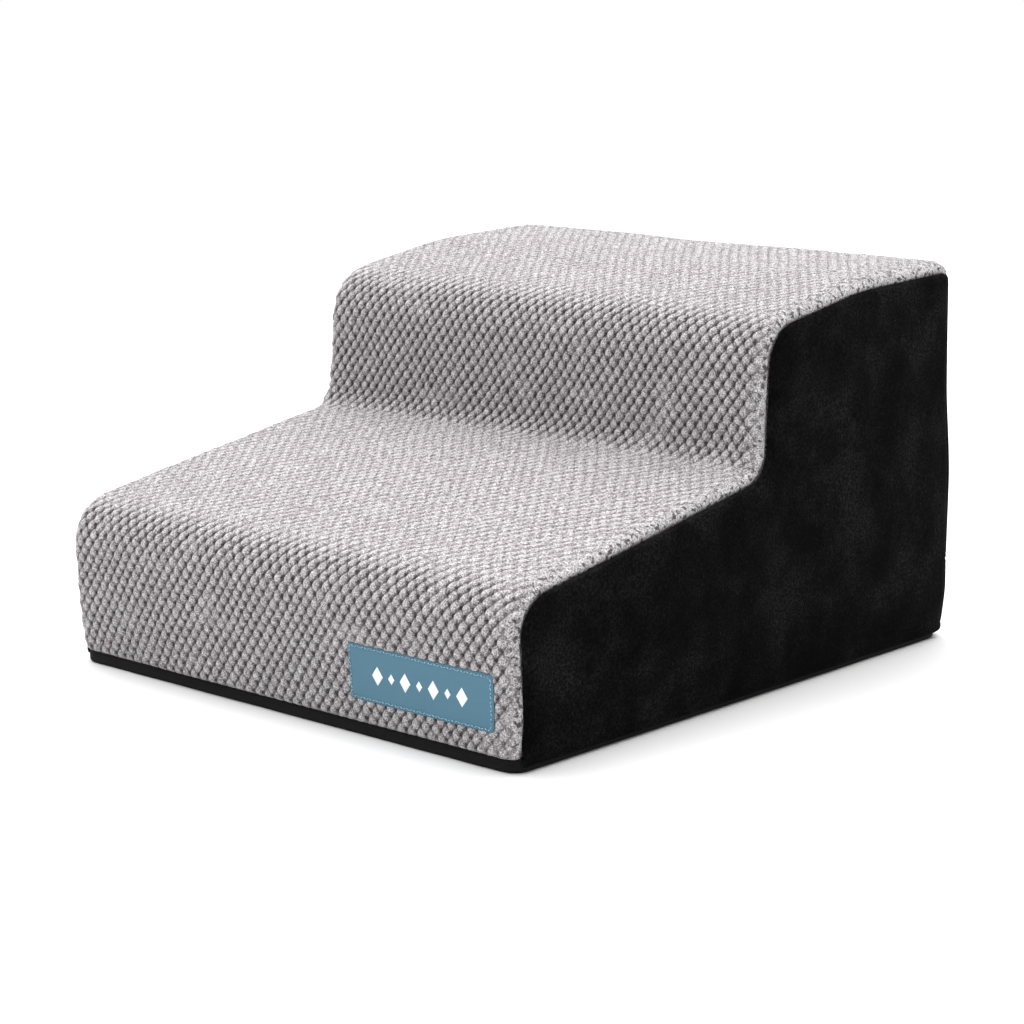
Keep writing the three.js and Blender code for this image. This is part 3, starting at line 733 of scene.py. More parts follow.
class RAMP_OT_tread_cover(bpy.types.Operator):
    """Knitted plush strip over both treads, with its bumps, side curls and sewn edges"""

    bl_idname = "ramp.tread_cover"
    bl_label = "Tread cover"

    def execute(self, context):
        """A point is the side line's point + normal times height, less the curl's depth at the sides.

        u is measured across the ramp on the cloth and v along the side line. The underside is the same
        surface at a level depth, on fewer columns."""
        cover = context.scene.ramp_cover
        line = tread_line()
        length = line_length(line)
        half = SIDE - EDGE + EDGE * (CURL + TUCK)
        rows = int(length / cover.spacing) + 1
        columns = 2 * int(half / cover.spacing) + 1
        u, v = np.linspace(-half, half, columns), np.linspace(0, length, rows)
        place, way = along(line, v)
        normal = np.stack([-way[:, 1], way[:, 0]], 1)
        uu, vv = np.meshgrid(u, v)
        from_side = half - EDGE * TUCK - np.abs(uu)
        from_end = np.minimum(vv, length - vv)

        # The stitches are squeezed to a fuzz by the side seams, and worn to one in a few patches.
        squeezed = 1 - smooth(4 * MM, 17 * MM, from_side + 3 * MM * value_noise(uu, vv, 9 * MM, 5))
        patches = smooth(0.5, 0.8, value_noise(uu, vv, 15 * MM, 23))
        fuzz = np.maximum(squeezed, 0.3 * patches)
        p, q = knit_lattice(uu, vv, cover.pitch, cover.row, 11)
        knit = popcorn(p, q, cover.pitch, cover.row, 11)
        lumps = 0.5 + 0.3 * value_noise(uu, vv, 3.1 * MM, 21) + 0.2 * value_noise(uu, vv, 1.9 * MM, 22)
        bumps = knit * (1 - 0.72 * fuzz) + 0.75 * lumps * fuzz
        settle = smooth(0, 5 * MM, from_end) * smooth(-1 * MM, 5 * MM, from_side)
        wave = 0.7 * MM * value_noise(uu, vv, 95 * MM, 31) + 0.35 * MM * value_noise(uu, vv, 40 * MM, 32)
        swell = cover.crown * (1 - (np.abs(uu) / half) ** 4) * smooth(0, 60 * MM, from_end)
        sunk = edge_sink(from_side, 2.4 * MM, 2.2 * MM) + edge_sink(from_end, 2.6 * MM, 2.0 * MM)
        # On the treads this also thins the painted shade in the knit's valleys and gaps, so the treads are
        # painted lighter than the upright faces.
        worn = 1.1 - 0.52 * smooth(0.6, 0.95, normal[:, 1:])  # treads are flatter than upright faces
        ground = -0.72 * cover.relief
        height = ground + cover.relief * worn * bumps * settle + (wave + swell) * settle - sunk
        lower_face = vv < 120 * MM
        over_label = label_cover(uu, np.broadcast_to(place[:, 1:], uu.shape)) * lower_face
        pressed = 0.1 * MM + 0.3 * cover.relief * (bumps - 0.9)
        height = height * (1 - over_label) + over_label * pressed

        def surface(h, u):
            """The strip's surface at height h above the cloth's nominal outer face."""
            angle, x, depth = curled(u)
            outward = (np.cos(angle) * h - depth)[..., None]
            return np.dstack([x + np.sin(angle) * h, place[:, None] + normal[:, None] * outward])

        outer = surface(height, u)
        pick = np.unique(np.linspace(0, columns - 1, 41).round().astype(int))
        under = surface(np.full((rows, len(pick)), UNDERSIDE), u[pick])
        outer_at = np.arange(rows * columns).reshape(rows, columns)
        under_at = outer_at.size + np.arange(rows * len(pick)).reshape(rows, len(pick))
        faces = [
            grid_faces(rows, columns),
            grid_faces(rows, len(pick), outer_at.size, flip=True),
            np.stack([outer_at[:-1, 0], outer_at[1:, 0], under_at[1:, 0], under_at[:-1, 0]], 1),
            np.stack([outer_at[:-1, -1], under_at[:-1, -1], under_at[1:, -1], outer_at[1:, -1]], 1),
            np.concatenate([under_at[0], outer_at[0, ::-1]])[None],
            np.concatenate([outer_at[-1], under_at[-1, ::-1]])[None],
        ]
        points = settled(np.concatenate([outer.reshape(-1, 3), under.reshape(-1, 3)]))
        obj = closed_piece("tread_cover", points, faces, "plush", ["cover_tread_panel"])
        # What the knit's material reads, each with its value on the hidden underside.
        shading = {
            # relief also carries painted shade: it is low in the valleys and by the sunk seams, and there
            # the material paints the knit darker.
            "relief": (np.clip(1 - (1 - bumps - 0.25 * fuzz) * worn, 0, 1) * (0.45 + 0.55 * settle), 0.2),
            "knit_s": (p - q, 0.0),
            "knit_t": (p + q, 0.0),
            "knit_share": ((1 - fuzz) * settle * (1 - over_label) * np.minimum(worn, 1), 0.0),
        }
        for name, (values, hidden) in shading.items():
            add_attribute(obj, name, np.concatenate([values.ravel(), np.full(under_at.size, hidden)]))
        return {"FINISHED"}


# ---- Side and back panels ----


def close_sheet(obj, thickness):
    """Thickens a sheet inwards with a Solidify modifier and applies it."""
    solidify = obj.modifiers.new("thickness", "SOLIDIFY")
    solidify.thickness = thickness
    solidify.offset = -1
    solidify.use_even_offset = False
    bpy.context.view_layer.objects.active = obj
    bpy.ops.object.modifier_apply(modifier=solidify.name)


def spoked_faces(rings, around):
    """Faces of rings of points about a middle point that comes last, the smallest ring first."""
    first = np.arange(around)
    fan = np.stack([np.full(around, rings * around), first, (first + 1) % around], 1)
    return [grid_faces(rings, around, wrap_columns=True, flip=True), fan]


class RAMP_OT_side_panels(bpy.types.Operator):
    """Suede panels sewn to the tread cover along the ramp's outline, one on each side"""

    bl_idname = "ramp.side_panels"
    bl_label = "Side panels"

    def execute(self, context):
        """A point lies on a ray from the panel's heart to its outline, at share b of the way.

        Outward it stands at the side face, plus the foam's crown times (1 - b^4), less the sink and the
        small puckers of the seam."""
        cover = context.scene.ramp_cover
        inset = SEAM_INSET + 0.4 * MM
        arc = 20
        outline = rounded_outline(inset_corners(OUTLINE, inset), arc)[::-1][:5 * arc]
        foot_front = [[FRONT + LEAN + SEAM_INSET * 0.9, SEWN_FOOT]]
        foot_back = [[BACK - inset, SEWN_FOOT]]
        ring = np.concatenate([foot_front, outline, foot_back, foot_front])
        around = 720
        at = np.linspace(0, line_length(ring), around, endpoint=False)
        edge, _ = along(ring, at)
        heart = np.array([80 * MM, 95 * MM])
        share = 1 - (1 - np.linspace(0, 1, 70)[1:]) ** 1.7
        spokes = edge - heart
        grid = heart + share[:, None, None] * spokes[None]
        reach = np.linalg.norm(spokes, axis=1)
        from_edge = (1 - share)[:, None] * reach[None] * 0.8
        y, z = grid[..., 0], grid[..., 1]
        pucker = 0.25 * MM * value_noise(np.broadcast_to(at, y.shape), from_edge, 7 * MM, 41)
        out = (
            SIDE
            - 0.2 * MM
            + cover.crown * (1 - share[:, None] ** 4)
            + 0.45 * MM * value_noise(y, z, 70 * MM, 42)
            + pucker * np.exp(-from_edge / (9 * MM))
            - edge_sink(from_edge, 3.0 * MM, 2.0 * MM) * smooth(6 * MM, 16 * MM, z)
            - edge_sink(z - SEWN_FOOT, 1.2 * MM, 1.0 * MM)
        )
        middle = [[SIDE + cover.crown, *heart]]
        points = settled(np.concatenate([np.stack([out, y, z], 2).reshape(-1, 3), middle]))
        faces = spoked_faces(len(share), around)
        for name, way in (("side_panel_right", 1), ("side_panel_left", -1)):
            turned = [f[:, ::way] for f in faces]
            obj = make_mesh(name, points * [way, 1, 1], turned)
            face_towards(obj, (way, 0, 0))
            close_sheet(obj, cover.suede_thick)
            finish_piece(obj, "suede", nodes=["cover_" + name])
        return {"FINISHED"}


def back_ripple(u, z, from_zip):
    """How far the back cloth waves in and out, with small puckers close to the zip."""
    puckers = 0.22 * MM * value_noise(u, from_zip, 9 * MM, 52) * np.exp(-from_zip / (8 * MM))
    return 0.4 * MM * value_noise(u, z, 60 * MM, 51) + puckers


class RAMP_OT_back_panels(bpy.types.Operator):
    """Suede panels above and below the zip, their edges folded along it and curled round the corners"""

    bl_idname = "ramp.back_panels"
    bl_label = "Back panels"

    def execute(self, context):
        """A point is (x, back face - curl depth + crown, z). At the zip the cloth turns in on a fold."""
        cover = context.scene.ramp_cover
        half = SIDE - EDGE + EDGE * CURL
        u = np.linspace(-half, half, 221)
        angle, x, depth = curled(u)
        fold = 2.2 * MM
        opening = BACK_LOW.z - FOOT_HIGH.z
        rows = {
            "back_panel_upper": (BACK_LOW.z, BACK_HIGH.z + 1.5 * MM, -1, "cover_back_panel_upper"),
            "back_panel_lower": (SEWN_FOOT, FOOT_HIGH.z, 1, "cover_back_panel_lower"),
        }
        for name, (low, high, fold_way, cad) in rows.items():
            tall = high - low
            count = int(tall / (2.0 * MM))
            from_zip, xx = np.meshgrid(tall * np.linspace(0, 1, count) ** 1.25, x, indexing="ij")
            from_seam = tall - from_zip
            uu = np.broadcast_to(u, xx.shape)
            # Past the zip's ends the two panels close up to each other.
            past_end = smooth(SIDE - 21 * MM, SIDE - 15.5 * MM, np.abs(uu))
            closing = past_end * (1 - smooth(0, 30 * MM, from_zip)) * (opening / 2 + 0.1 * MM)
            zz = low + (from_zip if fold_way < 0 else from_seam) + fold_way * closing
            from_side = half - np.abs(uu)
            bulge = cover.crown * smooth(0, 40 * MM, from_zip) * smooth(0, 25 * MM, from_seam)
            out = (
                bulge * (1 - (np.abs(uu) / half) ** 4)
                + back_ripple(uu, zz, from_zip)
                - edge_sink(from_side, 2.6 * MM, 2.0 * MM)
                - edge_sink(from_seam, 1.8 * MM, 1.6 * MM)
                - 0.45 * MM * np.exp(-((from_zip - FOLD_TO_STITCH) / (0.7 * MM)) ** 2)
                - fold * (1 - np.sqrt(1 - (1 - np.clip(from_zip / fold, 0, 1)) ** 2))
            )
            yy = BACK - depth + np.cos(angle) * out - 0.2 * MM
            points = np.stack([xx + np.sin(angle) * out, yy, zz], 2)
            obj = make_mesh(name, settled(points.reshape(-1, 3)), grid_faces(count, len(x)))
            face_towards(obj, REARWARD)
            close_sheet(obj, cover.suede_thick)
            finish_piece(obj, "suede", nodes=[cad])
        return {"FINISHED"}


# ---- Base ----


def base_loop(front_radius, radius, inset, front_inset, count=26):
    """The foot's outline in plan, a rectangle with round corners, as points and outward directions."""
    x, y0, y1 = SIDE - inset, BAND_LOW.y + front_inset, BAND_HIGH.y - inset
    corners = np.array([(-x, y0), (x, y0), (x, y1), (-x, y1)])
    rounding = np.repeat([front_radius - front_inset, radius - inset], 2)
    ring = rounded_outline(np.column_stack([corners, rounding]), count)
    ring = np.concatenate([ring, ring[:1]])
    steps = int(line_length(ring) / (3 * MM))
    at = np.linspace(0, line_length(ring), steps, endpoint=False)
    place, way = along(ring, at)
    return place, np.stack([way[:, 1], -way[:, 0]], 1), at


class RAMP_OT_base(bpy.types.Operator):
    """Corded binding round the foot, and the bottom cloth with its printed grip dots"""

    bl_idname = "ramp.base"
    bl_label = "Base"

    def execute(self, context):
        """The binding is a flattened round section carried round the foot: outward a*|cos|^k, up b*|sin|^k.

        The bottom is a level sheet; its dots are low domes on a staggered grid."""
        place, out, at = base_loop(13 * MM, 22 * MM, 2.1 * MM, 0.9 * MM)
        path = np.column_stack([place, np.full(len(place), (BAND_LOW.z + BAND_HIGH.z) / 2)])
        across = np.column_stack([out, np.zeros(len(out))])
        angle = np.linspace(0, 2 * math.pi, 24, endpoint=False)
        high = (BAND_HIGH.z - BAND_LOW.z) / 2 + 0.25 * MM
        section = np.stack([
            squared_off(np.cos(angle), 0.75) * 2.4 * MM - 2.6 * MM,
            squared_off(np.sin(angle), 0.75) * high,
        ], 1)
        points, faces = swept_tube(path, across, UPWARD, section, closed=True)
        wobble = 0.2 * MM * value_noise(np.repeat(at, len(section)), np.zeros(len(points)), 23 * MM, 61)
        points[:, :2] += np.repeat(out, len(section), axis=0) * wobble[:, None]
        points[:, 2] = np.maximum(points[:, 2], 0.05 * MM)
        closed_piece("base_binding", points, faces, "binding", ["base_band"])

        edge, _, _ = base_loop(13 * MM, 22 * MM, 3.0 * MM, 3.0 * MM)
        centre = np.array([0, (BAND_LOW.y + BAND_HIGH.y) / 2])
        share = np.linspace(0, 1, 16)[1:]
        grid = centre + share[:, None, None] * (edge - centre)[None]
        wave = 0.25 * MM * value_noise(grid[..., 0], grid[..., 1], 60 * MM, 62)
        level = np.maximum(0.75 * MM + wave * (1 - share[:, None]), 0.6 * MM)
        points = np.concatenate([np.dstack([grid, level]).reshape(-1, 3), [[*centre, 0.8 * MM]]])
        bottom = make_mesh("grip_bottom", points, spoked_faces(len(share), len(edge)))
        face_towards(bottom, -UPWARD)
        close_sheet(bottom, 1.2 * MM)
        finish_piece(bottom, "grip", nodes=["cover_grip_bottom"])

        pitch = 12 * MM
        margin = 14 * MM
        gx, gy = np.meshgrid(np.arange(-15, 16), np.arange(-18, 19), indexing="ij")
        gx = (gx + 0.5 * (gy % 2)) * pitch
        gy = gy * pitch
        keep = (np.abs(gx) < SIDE - margin) & (np.abs(gy) < (BAND_HIGH.y - BAND_LOW.y) / 2 - margin)
        centres = np.stack([gx[keep], gy[keep] + centre[1], np.full(keep.sum(), 0.75 * MM)], 1)
        sides = 10
        turn = np.linspace(0, 2 * math.pi, sides, endpoint=False)
        rings = [(2.3 * MM, 0.25 * MM), (2.2 * MM, -0.25 * MM), (1.4 * MM, -0.6 * MM)]
        dot = np.concatenate([
            np.stack([r * np.cos(turn), r * np.sin(turn), np.full(sides, h)], 1) for r, h in rings
        ])
        caps = np.arange(sides)
        dot_faces = [grid_faces(3, sides, wrap_columns=True), caps[None, ::-1], (caps + 2 * sides)[None]]
        points, faces = repeat_shape(dot, dot_faces, centres, ACROSS, UPWARD)
        points[:, 2] = np.maximum(points[:, 2], 0.02 * MM)
        closed_piece("grip_dots", points, faces, "rubber")
        return {"FINISHED"}


# ---- Foam ----


def merged_copy(cad_node, name):
    """A copy of a CAD node's mesh with its doubled points merged."""
    obj = bpy.data.objects.new(name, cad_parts[cad_node].data.copy())
    bpy.context.scene.collection.objects.link(obj)
    weld = obj.modifiers.new("merge", "WELD")
    weld.merge_threshold = 0.002 * MM
    bpy.context.view_layer.objects.active = obj
    bpy.ops.object.modifier_apply(modifier=weld.name)
    return obj


def bevel_edges(obj, width, segments=2, limit=25):
    """Rounds the sharp edges of a piece."""
    bevel = obj.modifiers.new("edges", "BEVEL")
    bevel.width = width
    bevel.segments = segments
    bevel.limit_method = "ANGLE"
    bevel.angle_limit = math.radians(limit)
    bpy.context.view_layer.objects.active = obj
    bpy.ops.object.modifier_apply(modifier=bevel.name)
    obj.data.shade_smooth()


class RAMP_OT_foam(bpy.types.Operator):
    """Support blocks and soft tread pads inside the cover"""

    bl_idname = "ramp.foam"
    bl_label = "Foam core"

    def execute(self, context):
        """Each is its CAD solid, rounded at the foot as the cover is, with its edges cut soft."""
        pieces = {
            "base_foam": ("base_foam_block", "foam", "support_foam"),
            "upper_foam": ("upper_step_foam_block", "foam", "support_foam"),
            "lower_tread_pad": ("lower_tread_memory_foam", "memory", "memory_foam"),
            "upper_tread_pad": ("upper_tread_memory_foam", "memory", "memory_foam"),
        }
        for name, (cad, finish, slot) in pieces.items():
            obj = merged_copy(cad, name)
            points = np.array([vertex.co for vertex in obj.data.vertices])
            rounded_foot(points)
            obj.data.vertices.foreach_set("co", points.ravel())
            bevel_edges(obj, 0.8 * MM, 2, 40)
            finish_piece(obj, finish, nodes=[cad])
        return {"FINISHED"}


# ---- Zip ----


def stitch_row(name, centres, across, upward, size, finish, nodes=()):
    """A row of sewn stitches, each a small bead along its seam; size is its length, width and height."""
    points, faces = repeat_shape(*pod(*size), centres, across, upward)
    return closed_piece(name, points, faces, finish, nodes)


class RAMP_PG_zip(bpy.types.PropertyGroup):
    """Sizes of the zip."""

    coil_pitch: length_setting("Coil pitch", "Distance between the coil's turns", 1.4 * MM, 0.8 * MM, 4 * MM)
    filament: length_setting("Filament radius", "Radius of the nylon filament", 0.36 * MM, 0.1 * MM, 1 * MM)


class RAMP_OT_zip(bpy.types.Operator):
    """Tapes, meshed coils, end stops, end tabs, slider, pull tab and the rows of stitches beside them"""

    bl_idname = "ramp.zip"
    bl_label = "Zip"

    def execute(self, context):
        self.tapes()
        self.coils(context.scene.ramp_zip)
        self.metal_parts()
        self.end_tabs()
        self.stitching()
        return {"FINISHED"}

    def tapes(self):
        """Each tape is a thin slab with a rolled bead along its inner edge."""
        x = np.linspace(TAPE_LOW.x, TAPE_HIGH.x, 240)
        thick = (TAPE_HIGH.y - TAPE_LOW.y) / 2
        across = np.linspace(-1, 1, 14)
        rows = (
            ("zip_tape_top", 1, "zip_tape_upper", "back_panel_upper"),
            ("zip_tape_foot", -1, "zip_tape_lower", "back_panel_lower"),
        )
        for name, way, cad, panel in rows:
            low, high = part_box(cad)
            z = (low.z + high.z) / 2 + across * (high.z - low.z) / 2
            bead = 1 + 0.25 * np.exp(-((1 + way * across) / 0.12) ** 2)
            face = np.concatenate([
                np.stack([thick * bead, z], 1),
                np.stack([-thick * bead, z], 1)[::-1],
            ])
            path = np.column_stack([x, np.full(len(x), (low.y + high.y) / 2), np.zeros(len(x))])
            points, faces = swept_tube(path, REARWARD, UPWARD, face)
            points[:, 1] += 0.08 * MM * value_noise(points[:, 0], points[:, 2], 11 * MM, 71)
            obj = closed_piece(name, points, faces, "tape", [cad])

    def coils(self, sizes):
        """A flattened helix: x rises by a pitch each turn while y and z go round an oval.

        The lower coil is half a turn ahead, so the two mesh."""
        turns = int((COIL_HIGH.x - COIL_LOW.x) / sizes.coil_pitch)
        per_turn = 12
        t = np.linspace(0, turns, turns * per_turn + 1)
        around = np.linspace(0, 2 * math.pi, 6, endpoint=False)
        section = sizes.filament * np.stack([np.cos(around), np.sin(around)], 1)
        mesh_over = 0.55 * MM
        deep = (COIL_HIGH.y - COIL_LOW.y) / 2 - sizes.filament
        coils = (("zip_coil_top", 1, "zip_coil_upper", 0), ("zip_coil_foot", -1, "zip_coil_lower", math.pi))
        for name, way, cad, ahead in coils:
            low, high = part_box(cad)
            inner = ZIP_Z - way * mesh_over + way * sizes.filament
            outer = (high.z if way > 0 else low.z) - way * sizes.filament
            phase = 2 * math.pi * t + ahead
            path = np.stack([
                COIL_LOW.x + t * sizes.coil_pitch,
                (COIL_LOW.y + COIL_HIGH.y) / 2 + deep * squared_off(np.sin(phase), 0.7),
                (inner + outer) / 2 + (inner - outer) / 2 * squared_off(np.cos(phase), 0.7),
            ], 1)
            way_on = np.gradient(path, axis=0)
            way_on /= np.linalg.norm(way_on, axis=1)[:, None]
            side = np.cross(way_on, ACROSS)
            side /= np.linalg.norm(side, axis=1)[:, None]
            points, faces = swept_tube(path, side, np.cross(way_on, side), section)
            closed_piece(name, points, faces, "nylon", [cad])

    def metal_parts(self):
        """Cast parts keep their CAD form, with their edges rounded."""
        parts = {
            "slider_body": ("zip_slider", "slider", 0.22 * MM),
            "slider_pull": ("zip_pull_tab", "pull_tab", 0.2 * MM),
            "zip_stop_left": ("zip_bottom_stop", "ramp", 0.3 * MM),
            "zip_stop_right": ("zip_top_stop", "ramp", 0.3 * MM),
        }
        for name, (cad, body, width) in parts.items():
            obj = merged_copy(cad, name)
            bevel_edges(obj, width)
            finish_piece(obj, "zinc", body, [cad])

    def end_tabs(self):
        """A small pillow of folded suede over each end of the zip.

        Its half depth is 0.35 of the CAD's, and the other 0.65 times the root of (1 - a^6)(1 - b^6)."""
        rows, columns = 25, 17
        a, b = np.meshgrid(np.linspace(-1, 1, rows), np.linspace(-1, 1, columns), indexing="ij")
        puff = 0.35 + 0.65 * np.sqrt((1 - a**6) * (1 - b**6))
        at = np.arange(rows * columns).reshape(rows, columns)
        rim = np.concatenate([at[:, 0], at[-1, 1:], at[-2::-1, -1], at[0, -2:0:-1]])
        onward = np.roll(rim, -1)
        wall = np.stack([rim + at.size, onward + at.size, onward, rim], 1)
        faces = [grid_faces(rows, columns), grid_faces(rows, columns, at.size, flip=True), wall]
        for name in ("end_tab_left", "end_tab_right"):
            low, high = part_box("zip_" + name)
            centre, size = (low + high) / 2, (high - low) / 2
            x, z = centre.x + a * size.x, centre.z + b * (size.z + 0.9 * MM)
            layers = [np.stack([x, centre.y + side * size.y * puff, z], 2) for side in (1, -1)]
            points = np.concatenate(layers).reshape(-1, 3)
            obj = closed_piece(name, points, faces, "suede", ["zip_" + name])

    def stitching(self):
        """Topstitches beside each fold: beads 2.4 mm long every 3 mm, bedded in the panel's surface."""
        x = np.arange(-SIDE + 18 * MM, SIDE - 18 * MM, 3 * MM)
        rows = {
            "topstitch_upper": BACK_LOW.z + FOLD_TO_STITCH,
            "topstitch_lower": FOOT_HIGH.z - FOLD_TO_STITCH,
        }
        for name, height in rows.items():
            z = np.full(len(x), height)
            y = BACK - 0.5 * MM + back_ripple(x, z, np.full(len(x), FOLD_TO_STITCH))
            stitch_row(name, np.stack([x, y, z], 1), ACROSS, UPWARD, (2.4 * MM, 0.6 * MM, 0.55 * MM),
                       "black_thread")


# ---- Labels ----


class RAMP_PG_label(bpy.types.PropertyGroup):
    """The woven label on the front."""

    stitch: length_setting("Stitch spacing", "Distance between the label's stitches",
                           2.6 * MM, 1 * MM, 8 * MM)
    diamonds: IntProperty(name="Diamonds", description="Number of diamonds woven into the label",
                          default=7, min=1, max=15)


LABEL_LIFT = 1.8 * MM  # outer face of the label, out from the cover's plain face
LABEL_SEAM = 1.9 * MM  # its stitches run this far inside its edge


def label_surface(x, z, lift):
    """The leaning front face raised by lift, with the soft waves that the bumps below press into it."""
    lean = LEAN / NOSE_Z
    y = FRONT + LEAN - z * lean
    wave = 0.22 * MM * value_noise(x, z, 8 * MM, 81) + 0.3 * MM * value_noise(x, z, 30 * MM, 82)
    return settled(np.stack([x, y - (lift + wave), z], -1))


class RAMP_OT_front_label(bpy.types.Operator):
    """Damask label with a plain woven diamond row, held by a row of stitches"""

    bl_idname = "ramp.front_label"
    bl_label = "Front label"

    def execute(self, context):
        """The label is a grid on the front face, its corners drawn in on a superellipse; its edge dips."""
        sizes = context.scene.ramp_label
        middle = np.array([LABEL_HIGH.x + LABEL_LOW.x, LABEL_HIGH.z + LABEL_LOW.z]) / 2
        half = np.array([LABEL_HIGH.x - LABEL_LOW.x, LABEL_HIGH.z - LABEL_LOW.z]) / 2
        rows, columns = 120, 40
        a, b = np.meshgrid(np.linspace(-1, 1, rows), np.linspace(-1, 1, columns), indexing="ij")
        share = np.stack([a, b], -1)
        corner = 2.4 * MM
        out = np.abs(share) * half
        over = np.maximum(out - (half - corner), 0) / corner
        pull = 1 / np.maximum(np.linalg.norm(over, axis=-1, keepdims=True), 1)
        place = middle + np.sign(share) * np.where(over > 0, half - corner + over * corner * pull, out)
        from_edge = np.min(half - out, axis=-1)
        stitched = 0.25 * MM * np.exp(-((from_edge - LABEL_SEAM) / (0.7 * MM)) ** 2)
        lift = LABEL_LIFT - edge_sink(from_edge, 0.8 * MM, 0.8 * MM) - stitched
        points = label_surface(place[..., 0], place[..., 1], lift)
        label = make_mesh("front_label", points.reshape(-1, 3), grid_faces(rows, columns))
        face_towards(label, -REARWARD)
        close_sheet(label, 0.7 * MM)
        finish_piece(label, "label", nodes=["woven_label"])
        self.stitch_ring(sizes.stitch, middle, half)
        self.motif(sizes.diamonds, middle)
        return {"FINISHED"}

    def stitch_ring(self, spacing, middle, half):
        """Zigzag stitches round the label inside its edge, turned 28 degrees left and right by turns."""
        corners = np.array([(-1, -1), (1, -1), (1, 1), (-1, 1)]) * (half - LABEL_SEAM) + middle
        ring = rounded_outline(np.column_stack([corners, np.full(4, 1.6 * MM)]), 6)
        ring = np.concatenate([ring, ring[:1]])
        count = int(line_length(ring) / spacing)
        place, way = along(ring, (np.arange(count) + 0.5) * line_length(ring) / count)
        centres = label_surface(place[:, 0], place[:, 1], LABEL_LIFT)
        lean = np.where(np.arange(count) % 2, 1, -1) * math.radians(28)
        x = way[:, 0] * np.cos(lean) - way[:, 1] * np.sin(lean)
        z = way[:, 0] * np.sin(lean) + way[:, 1] * np.cos(lean)
        level = np.zeros(count)
        stitch_row("label_stitches", centres, np.stack([x, level, z], 1), np.stack([-z, level, x], 1),
                   (2.5 * MM, 0.5 * MM, 0.55 * MM), "label_thread", ["label_stitching"])

    def motif(self, count, middle):
        """A row of satin-stitched diamonds, large and small by turns: each is a low pyramid with a rounded
        top, on rings of a share of its size and a height."""
        pitch = 11.5 * MM
        rings = ((1.0, -0.1 * MM), (0.94, 0.18 * MM), (0.5, 0.3 * MM), (0.0, 0.32 * MM))
        sides = 16
        turn = np.linspace(0, 2 * math.pi, sides, endpoint=False)
        round_it = np.stack([np.cos(turn), np.sin(turn)], 1) * [4.6 * MM, 6.2 * MM]
        diamond = round_it / (np.abs(np.cos(turn)) + np.abs(np.sin(turn)))[:, None]
        shares = np.concatenate([np.full(sides if share else 1, share) for share, _ in rings])
        lifts = np.concatenate([np.full(sides if share else 1, height) for share, height in rings])
        shape = np.resize(diamond, (len(shares), 2)) * shares[:, None]
        base = grid_faces(3, sides, wrap_columns=True)
        first = np.arange(sides)
        tip = np.stack([first, (first + 1) % sides, np.full(sides, sides)], 1) + 2 * sides
        blocks, faces = [], []
        for index in range(count):
            small = 0.55 if index % 2 else 1.0
            place = shape * small + middle + [(index - (count - 1) / 2) * pitch, 0]
            blocks.append(label_surface(place[:, 0], place[:, 1], LABEL_LIFT + lifts))
            start = index * len(shares)
            faces += [base + start, tip + start, first[None, ::-1] + start]
        closed_piece("label_motif", np.concatenate(blocks), faces, "motif")


class RAMP_OT_care_label(bpy.types.Operator):
    """Satin care label folded in half and caught in the seam below the zip"""

    bl_idname = "ramp.care_label"
    bl_label = "Care label"

    def execute(self, context):
        """A ribbon carried along a folded line: down, round a small loop and up again behind itself."""
        half = (CARE_HIGH.x - CARE_LOW.x) / 2
        mid = (CARE_HIGH.x + CARE_LOW.x) / 2
        steps = 24
        drop = np.linspace(0, 1, steps)
        top, foot = CARE_HIGH.z, CARE_LOW.z + 1.0 * MM
        bow = 1.4 * MM * np.sin(drop * math.pi * 0.9)
        bend = np.linspace(-math.pi / 2, math.pi / 2, 9)
        outer_y = CARE_LOW.y + 0.9 * MM + bow
        inner_y = np.full(steps, CARE_LOW.y + 0.1 * MM)
        radius = (outer_y[-1] - inner_y[-1]) / 2
        loop_y = (outer_y[-1] + inner_y[-1]) / 2 - radius * np.sin(bend)
        loop_z = foot - radius * np.cos(bend)
        line = np.concatenate([
            np.stack([outer_y, top + (foot - top) * drop], 1),
            np.stack([loop_y, loop_z], 1)[1:-1],
            np.stack([inner_y, top + (foot - top) * drop], 1)[::-1],
        ])
        x = np.linspace(mid - half, mid + half, 14)
        cup = 0.5 * MM * ((x - mid) / half) ** 2
        points = np.stack([
            np.broadcast_to(x, (len(line), len(x))),
            line[:, :1] + cup[None],
            np.broadcast_to(line[:, 1:], (len(line), len(x))),
        ], 2)
        obj = make_mesh("care_ribbon", points.reshape(-1, 3), grid_faces(len(line), len(x)))
        close_sheet(obj, 0.16 * MM)
        finish_piece(obj, "satin", nodes=["care_label"])
        return {"FINISHED"}


# ---- Stage ----

FLOOR_COLOUR = "#dadada"
FLOOR_REACH = 6.0  # half the floor's width
SENSOR = 36  # the camera's sensor is this wide, in its own millimetres


